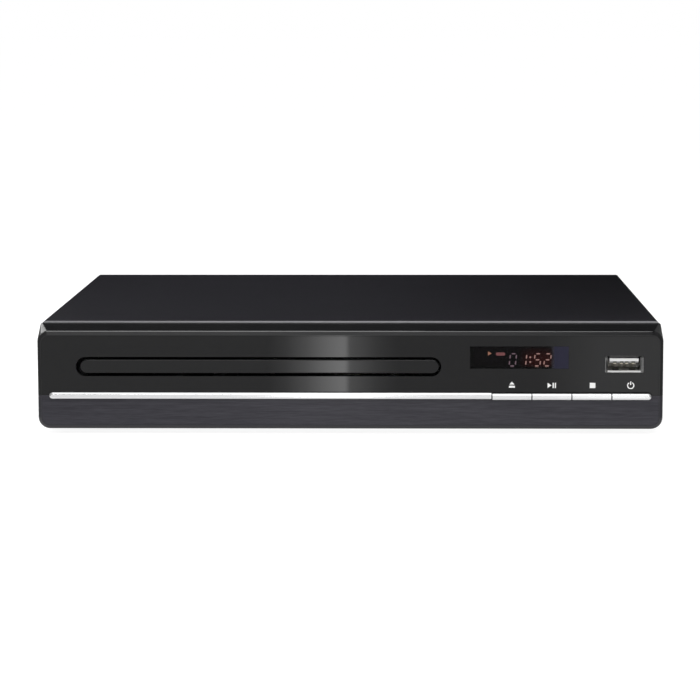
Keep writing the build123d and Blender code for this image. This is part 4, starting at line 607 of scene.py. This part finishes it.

# painted glow: the unlit digit's bars shine faintly, though they are no lamp, so that they show greyish
unlit = lit_plastic("unlit_bars", 3.8, plastic=((0.16, 0.12, 0.12), (0.2, 0.15, 0.15)),
                    light=((0.5, 0.34, 0.34), (0.6, 0.42, 0.42)))
unlit_left = 0.06123
dim = bmesh.new()
digit(dim, "0", unlit_left)
point_and_slant(dim)
piece("unlit_digit", dim, unlit)


# Memory socket: a white tongue with four gilt contacts stands in a plated steel shell with a flared mouth.
# The shell is painted dark, darkest under its roof and deep inside, as painted shade. Plugs have rubbed
# its lower lip duller, and a band of it is a painted highlight. The tongue is notched over each contact.
shell_shade_dark, shell_shade_pale = (0.2, 0.2, 0.2), (0.3, 0.3, 0.3)
shell_shaded, lip_highlight = (0.06, 0.06, 0.06), (0.92, 0.92, 0.91)
shell_shade_patch, shell_patch, scratch_size, scratch_depth = 0.0006, 0.0008, 0.0004, 0.000006
shell_smooth, shell_dull, lip_duller = 0.24, 0.34, 0.3
lip_fade, lip_end_fade, shade_fade = 0.0001, 0.0003, 0.0002
mouth_low, mouth_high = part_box("usb_shell")
mouth_x = (mouth_low.x + mouth_high.x) / 2
lip_foot, lip_top, lip_half = mouth_low.z + 0.0003, mouth_low.z + 0.00095, 0.0064
spring_top, roof, inside = mouth_low.z + 0.0017, mouth_high.z - 0.0008, mouth_low.y + 0.0013
mouth = Finish("rubbed_shell", metallic=1.0)
# painted highlight: a band of the lower lip is painted near white, and rubbed duller
rubbed = mouth.combine("MULTIPLY", mouth.between(2, lip_foot, lip_top, lip_fade),
                       mouth.between(0, mouth_x - lip_half, mouth_x + lip_half, lip_end_fade))
# painted shade: the roof and the deep inside of the shell are painted near black
rear = mouth.combine("MULTIPLY", mouth.beyond(1, inside, shade_fade),
                     mouth.beyond(2, spring_top, shade_fade))
shaded = mouth.combine("MAXIMUM", mouth.reverse(mouth.between(2, lip_foot, roof, shade_fade)), rear)
# painted shade: the whole shell is painted dark
painted_shade_shell = mouth.blend(mouth.grain(shell_shade_patch, stretch=(8, 8, 1)), shell_shade_dark, shell_shade_pale)
mouth.set(base_color=mouth.blend(rubbed, mouth.blend(shaded, painted_shade_shell, shell_shaded), lip_highlight),
          roughness=mouth.combine("ADD", mouth.spread(mouth.grain(shell_patch), shell_smooth, shell_dull),
                                  mouth.spread(rubbed, 0.0, lip_duller)))
mouth.relief(mouth.grain(scratch_size, stretch=(12, 12, 1)), scratch_depth)
dress(mouth, "usb_shell")

# painted shade: the shaded nylon, notch and root colours stand for shade on the tongue's lower front, in its
# notches and at its root
nylon_dark, nylon_pale, nylon_shaded = (0.78, 0.78, 0.77), (0.84, 0.84, 0.83), (0.3, 0.3, 0.3)
notch_shade, root_shade, worn_gilt = (0.02, 0.02, 0.02), (0.03, 0.03, 0.03), (0.5, 0.46, 0.38)
nylon_patch, nylon_sheen, nylon_smooth, nylon_dull = 0.003, 0.001, 0.35, 0.5
contact_top, notch_top, notch_half, root_length = 0.02766, 0.0284, 0.00065, 0.0016
contact_places = (-0.0035, -0.001, 0.001, 0.0035)
tongue_low, tongue_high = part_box("usb_tongue")
tongue_x = (tongue_low.x + tongue_high.x) / 2
white_tongue = Finish("socket_white")
below_notch = white_tongue.reverse(white_tongue.beyond(2, notch_top))
# painted shade: the root of the tongue, deep in the shell, is painted near black
root = white_tongue.beyond(1, tongue_high.y - root_length)
gilded = white_tongue.reverse(white_tongue.combine("MAXIMUM", root, white_tongue.beyond(2, contact_top)))
notches = 0.0
for place in contact_places:
    notch = white_tongue.between(0, tongue_x + place - notch_half, tongue_x + place + notch_half)
    notches = white_tongue.combine("MAXIMUM", notches, notch)
nylon = white_tongue.blend(white_tongue.grain(nylon_patch), nylon_dark, nylon_pale)
# painted shade: the lower front of the tongue is painted grey, and its notches near black
shaded_slope = white_tongue.blend(notches, nylon_shaded, notch_shade)
front = white_tongue.blend(gilded, white_tongue.blend(below_notch, nylon, shaded_slope), worn_gilt)
white_tongue.set(base_color=white_tongue.blend(root, front, root_shade), metallic=gilded,
                 roughness=white_tongue.spread(white_tongue.grain(nylon_sheen), nylon_smooth, nylon_dull))
dress(white_tongue, "usb_tongue")


# Key symbols: printed on the gloss plate in white ink, one above each key.
# The ink stands a little proud.
ink = mottled("white_ink", dark=(0.9, 0.9, 0.89), pale=(0.96, 0.96, 0.95), patch=0.0005, sheen=0.0003,
              smooth=0.5, dull=0.7, specular_ior_level=0.3)
ink_depth = 0.00003
face_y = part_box("upper_fascia")[0].y
ink_layer = (face_y - ink_depth, ink_depth)
symbol_z = 0.0192


def triangle(mesh, x, z, radius, squeeze, turn=0.0):
    """Adds a three-sided plate, squeezed towards the middle of its symbol."""
    made = dot(mesh, x, z, radius, *ink_layer, sides=3, turn=turn)
    bmesh.ops.scale(mesh, vec=squeeze, space=Matrix.Translation((-x, 0, -symbol_z)), verts=made)


eject_x, eject_rise, eject_radius, eject_squeeze = 0.06221, 0.00107, 0.00113, (1.0, 1.0, 0.66)
eject_drop, eject_width, eject_line = 0.00051, 0.00227, 0.00078
eject = bmesh.new()
triangle(eject, eject_x, symbol_z + eject_rise, eject_radius, eject_squeeze)
bar(eject, eject_x, symbol_z - eject_drop, eject_width, eject_line, *ink_layer)
piece("eject_symbol", eject, ink)

play_x, play_radius, play_squeeze = 0.0764, 0.00116, (0.88, 1.0, 1.0)
pause_places, pause_width, symbol_height = (0.07802, 0.07886), 0.00046, 0.00202
play = bmesh.new()
triangle(play, play_x, symbol_z, play_radius, play_squeeze, turn=math.pi / 2)
for x in pause_places:
    bar(play, x, symbol_z, pause_width, symbol_height, *ink_layer)
piece("play_symbol", play, ink)

stop_x, stop_width = 0.0931, 0.00216
stop = bmesh.new()
bar(stop, stop_x, symbol_z, stop_width, symbol_height, *ink_layer)
piece("stop_symbol", stop, ink)

power_x, ring_radius, ring_line, open_half = 0.10769, 0.00118, 0.00038, math.radians(38)
ring_middle = (power_x, 0, symbol_z)
power = bmesh.new()
start = bar(power, power_x, symbol_z + ring_radius, ring_line, ring_line, *ink_layer)
end = [f for f in power.faces if f.normal.x < -0.9]
bmesh.ops.rotate(power, cent=ring_middle, matrix=Matrix.Rotation(-open_half, 3, "Y"), verts=start)
bmesh.ops.spin(power, geom=end, cent=ring_middle, axis=(0, 1, 0), angle=2 * open_half - 2 * math.pi,
               steps=40)
bmesh.ops.remove_doubles(power, verts=power.verts, dist=0.000001)
bmesh.ops.recalc_face_normals(power, faces=power.faces)
bar(power, power_x, symbol_z + ring_radius * 0.75, ring_line, ring_radius * 1.1, *ink_layer)
piece("power_symbol", power, ink)


# Top cover: one sheet of steel folded over the top and sides and screwed on. Black powder paint with a fine
# orange peel, left bare on the cut edge that shows at the front.
paint_dark, paint_pale, bare_steel = (0.0104, 0.01, 0.0126), (0.0123, 0.0119, 0.0147), (0.25, 0.25, 0.26)
paint_patch, paint_smooth, paint_dull = 0.02, 0.55, 0.7
peel_size, peel_depth = 0.0006, 0.00002
edge_reach, edge_fade, edge_metallic = 0.00004, 0.00002, 0.9
cover_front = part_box("top_cover")[0].y
paint = Finish("powder_paint", specular_ior_level=0.05)
cut_edge = paint.reverse(paint.beyond(1, cover_front + edge_reach, edge_fade))
peel = paint.grain(peel_size)
coat = paint.blend(paint.grain(paint_patch), paint_dark, paint_pale)
paint.set(base_color=paint.blend(cut_edge, coat, bare_steel),
          metallic=paint.spread(cut_edge, 0.0, edge_metallic),
          roughness=paint.spread(peel, paint_smooth, paint_dull))
paint.relief(peel, peel_depth)
dress(paint, "top_cover")


# Case screws: self-tapping screws of blackened steel.
# They hold the cover at the sides and the back.
screw_black = marked_metal("black_screws", dark=(0.03, 0.03, 0.03), pale=(0.06, 0.06, 0.06), marks=0.0006,
                           smooth=0.3, dull=0.45, depth=0.00001, metallic=0.7)
dress(screw_black, "case_screws")


# Studio: a wide sheet of pale paper that shows white and keeps a soft shadow under the player, and a white
# room behind it. The paper is clear from below.
scene = bpy.context.scene
scene.view_settings.view_transform = "Standard"


def studio_piece(name, mesh, finish):
    """Makes an object of a mesh and a finish, for the studio."""
    made = built(name, mesh, finish)
    return made


def seen_directly(tree):
    """1 for rays from the camera and for those in reflections and glass, 0 for light that bounces about."""
    path = tree.nodes.new("ShaderNodeLightPath")
    total = path.outputs["Is Camera Ray"]
    for word in ("Is Glossy Ray", "Is Transmission Ray"):
        most = tree.nodes.new("ShaderNodeMath")
        most.operation = "MAXIMUM"
        tree.links.new(total, most.inputs[0])
        tree.links.new(path.outputs[word], most.inputs[1])
        total = most.outputs[0]
    return total


paper_half, paper_grey, paper_glow = 30.0, (0.4, 0.4, 0.4), 0.85
sheet = bmesh.new()
bmesh.ops.create_grid(sheet, x_segments=1, y_segments=1, size=paper_half)
paper = Finish("studio_paper", roughness=1.0, specular_ior_level=0.0, base_color=paper_grey)
paper.set(emission_color=(1.0, 1.0, 1.0),
          emission_strength=paper.combine("MULTIPLY", seen_directly(paper.tree), paper_glow))
one_sided = paper.add("MixShader", fac=paper.add("NewGeometry").outputs["Backfacing"])
paper.feed(one_sided.inputs[1], paper.shader.outputs[0])
paper.feed(one_sided.inputs[2], paper.add("BsdfTransparent").outputs[0])
paper.feed(paper.tree.nodes["Material Output"].inputs["Surface"], one_sided.outputs[0])
studio_piece("studio_floor", sheet, paper)

room_light, room_white = 0.38, 1.0
world = bpy.data.worlds.new("studio_room")
scene.world = world
world.use_nodes = True
room = world.node_tree
backdrop = room.nodes["Background"]
backdrop.inputs["Color"].default_value = (1.0, 1.0, 1.0, 1.0)
strength = room.nodes.new("ShaderNodeMapRange")
room.links.new(seen_directly(room), strength.inputs["Value"])
strength.inputs["To Min"].default_value = room_light
strength.inputs["To Max"].default_value = room_white
room.links.new(strength.outputs[0], backdrop.inputs["Strength"])


# Lamps: soft boxes in front, above and to the left, and a low lamp before the face whose light fades to both
# sides. That one, lamps at the cover's edge and the panel's left corner, grey flags and a dull ceiling cloth
# are seen only in gloss. A black shade, unseen by the camera, keeps the cover's right side dim.
def soft_box(name, place, aim, width, height, radiance):
    """An area lamp that looks at a point, as bright as a surface of that radiance."""
    lamp = bpy.data.lights.new(name, "AREA")
    lamp.shape = "RECTANGLE"
    lamp.size, lamp.size_y = width, height
    lamp.energy = radiance * math.pi * width * height
    made = bpy.data.objects.new(name, lamp)
    made.location = place
    made.rotation_euler = (Vector(aim) - Vector(place)).to_track_quat("-Z", "Y").to_euler()
    made.visible_camera = False
    scene.collection.objects.link(made)
    return made


face_middle, beside_cover, cover_left = (0.0, -0.1, 0.03), (-0.24, -0.1, 0.04), (-0.06, 0.0, 0.04)
soft_box("front_box", place=(-0.12, -0.476, 0.746), aim=face_middle, width=0.8, height=0.78, radiance=1.6)
soft_box("low_box", place=(0.1, -1.25, 0.5), aim=face_middle, width=0.8, height=0.25, radiance=11.0)
soft_box("top_box", place=(-0.24, 0.16, 0.745), aim=beside_cover, width=0.7, height=0.19, radiance=5.4)
soft_box("left_box", place=(-0.38, 0.0, 0.3), aim=cover_left, width=0.2, height=0.3, radiance=1.6)


def shining(name, level):
    """A finish that reflects nothing and shines evenly."""
    return Finish(name, base_color=(0.0, 0.0, 0.0), specular_ior_level=0.0, emission_color=(1.0, 1.0, 1.0),
                  emission_strength=level)


def slab(x, z, width, height, y, depth):
    """A mesh of one upright block, its front at y."""
    made = bmesh.new()
    bar(made, x, z, width, height, y, depth)
    return made


def gloss_only(name, mesh, finish):
    """Makes a piece of the studio that is seen in gloss and lights nothing else."""
    made = studio_piece(name, mesh, finish)
    made.visible_camera = made.visible_diffuse = made.visible_shadow = False


camera_place = Vector((0.01897, -1.10312, 0.15619))
streak_gap, streak_low, streak_high, streak_depth = 0.1, 0.0006, 0.0268, 0.0002
full_level, streak_gain = 8.0, 1.2
# each place across the face, and how bright the lamp is that shows there
levels = ((-0.0321, 1.05), (-0.0245, 1.75), (-0.0165, 3.5), (-0.0118, 5.2), (-0.0072, 6.7), (-0.0034, 7.8),
          (-0.0015, 7.9), (-0.0002, 3.5), (0.0053, 2.6), (0.0100, 1.75), (0.0147, 1.3), (0.0185, 1.05),
          (0.0728, 1.05), (0.0952, 1.82), (0.1200, 1.87))
away = 1 + streak_gap / (face_y - camera_place.y)  # a streak on the face is as much wider on the lamp
spots = [(camera_place.x + (x - camera_place.x) * away, level) for x, level in levels]
streak_left, streak_right = spots[0][0], spots[-1][0]
streak_width = streak_right - streak_left
streak_light = shining("streak_light", full_level * streak_gain)
across = streak_light.spread(streak_light.along(0), 0.0, 1.0, streak_left, streak_right)
fade = streak_light.add("ValToRGB", fac=across)
stops = fade.color_ramp.elements
stops.remove(stops[0])
for index, (x, level) in enumerate(spots):
    share, bright = (x - streak_left) / streak_width, level / full_level
    made = stops[0] if index == 0 else stops.new(share)
    made.position = share
    made.color = (bright, bright, bright, 1.0)
streak_light.set(emission_color=fade.outputs["Color"])
streak_block = slab((streak_left + streak_right) / 2, (streak_low + streak_high) / 2, streak_width,
                    streak_high - streak_low, face_y - streak_gap, streak_depth)
gloss_only("streak_lamp", streak_block, streak_light)

card_thickness = 0.0004
edge_lamp_x, edge_lamp_z, edge_lamp_width = -0.2, 0.75, 0.8
edge_lamp_front, edge_lamp_depth, edge_lamp_level = -0.06, 0.16, 9.0
edge_block = slab(edge_lamp_x, edge_lamp_z, edge_lamp_width, card_thickness, edge_lamp_front,
                  edge_lamp_depth)
gloss_only("edge_lamp", edge_block, shining("edge_light", edge_lamp_level))

flag_x, flag_front, flag_depth, flag_height, flag_level = 0.155, -0.22, 0.3, 0.15, 0.5
flag_grey = shining("grey_flag", flag_level)
for name, x in (("side_flag_left", -flag_x), ("side_flag_right", flag_x)):
    flag = slab(x, flag_height / 2, card_thickness, flag_height, flag_front, flag_depth)
    gloss_only(name, flag, flag_grey)

corner_lamp = soft_box("corner_lamp", place=(-0.1336, -0.0865, 0.0576), aim=(-0.118, -0.099, 0.041),
                       width=0.017, height=0.017, radiance=5.0)
corner_lamp.visible_diffuse = False

shade_left, shade_right, shade_front, shade_back, shade_z = 0.03, 0.7, -0.057, 0.5, 0.18
shade_level = 0.03
shade_block = slab((shade_left + shade_right) / 2, shade_z, shade_right - shade_left, card_thickness,
                   shade_front, shade_back - shade_front)
shade = studio_piece("cover_shade", shade_block, shining("black_shade", shade_level))
shade.visible_camera = shade.visible_diffuse = shade.visible_transmission = False

ceiling_radius, ceiling_rim = 8.0, 0.16
cloth_front, cloth_top, cloth_pale, cloth_dark = -3.0, 0.0, 0.3, 0.04
dome = bmesh.new()
bmesh.ops.create_uvsphere(dome, u_segments=48, v_segments=24, radius=ceiling_radius)
bmesh.ops.bisect_plane(dome, geom=dome.verts[:] + dome.edges[:] + dome.faces[:],
                       plane_co=(0, 0, ceiling_rim), plane_no=(0, 0, 1), clear_inner=True)
cloth = shining("ceiling_cloth", cloth_pale)
cloth.set(emission_strength=cloth.spread(cloth.along(1), cloth_pale, cloth_dark, cloth_front, cloth_top))
gloss_only("studio_ceiling", dome, cloth)


# Camera: a long lens, well back and a little above the player.
# It looks down by seven degrees and is turned one degree to the left.
pitch, yaw, roll = 0.1227456, 0.0188377, -0.0016070
camera_data = bpy.data.cameras.new("camera")
camera_data.sensor_fit = "HORIZONTAL"
camera_data.sensor_width = 36.0
camera_data.lens = 135.18
camera = bpy.data.objects.new("camera", camera_data)
camera.location = camera_place
camera.rotation_mode = "QUATERNION"
level_view = Euler((math.pi / 2 - pitch, 0.0, yaw)).to_quaternion()
camera.rotation_quaternion = level_view @ Quaternion((0, 0, 1), roll)
scene.collection.objects.link(camera)
scene.camera = camera
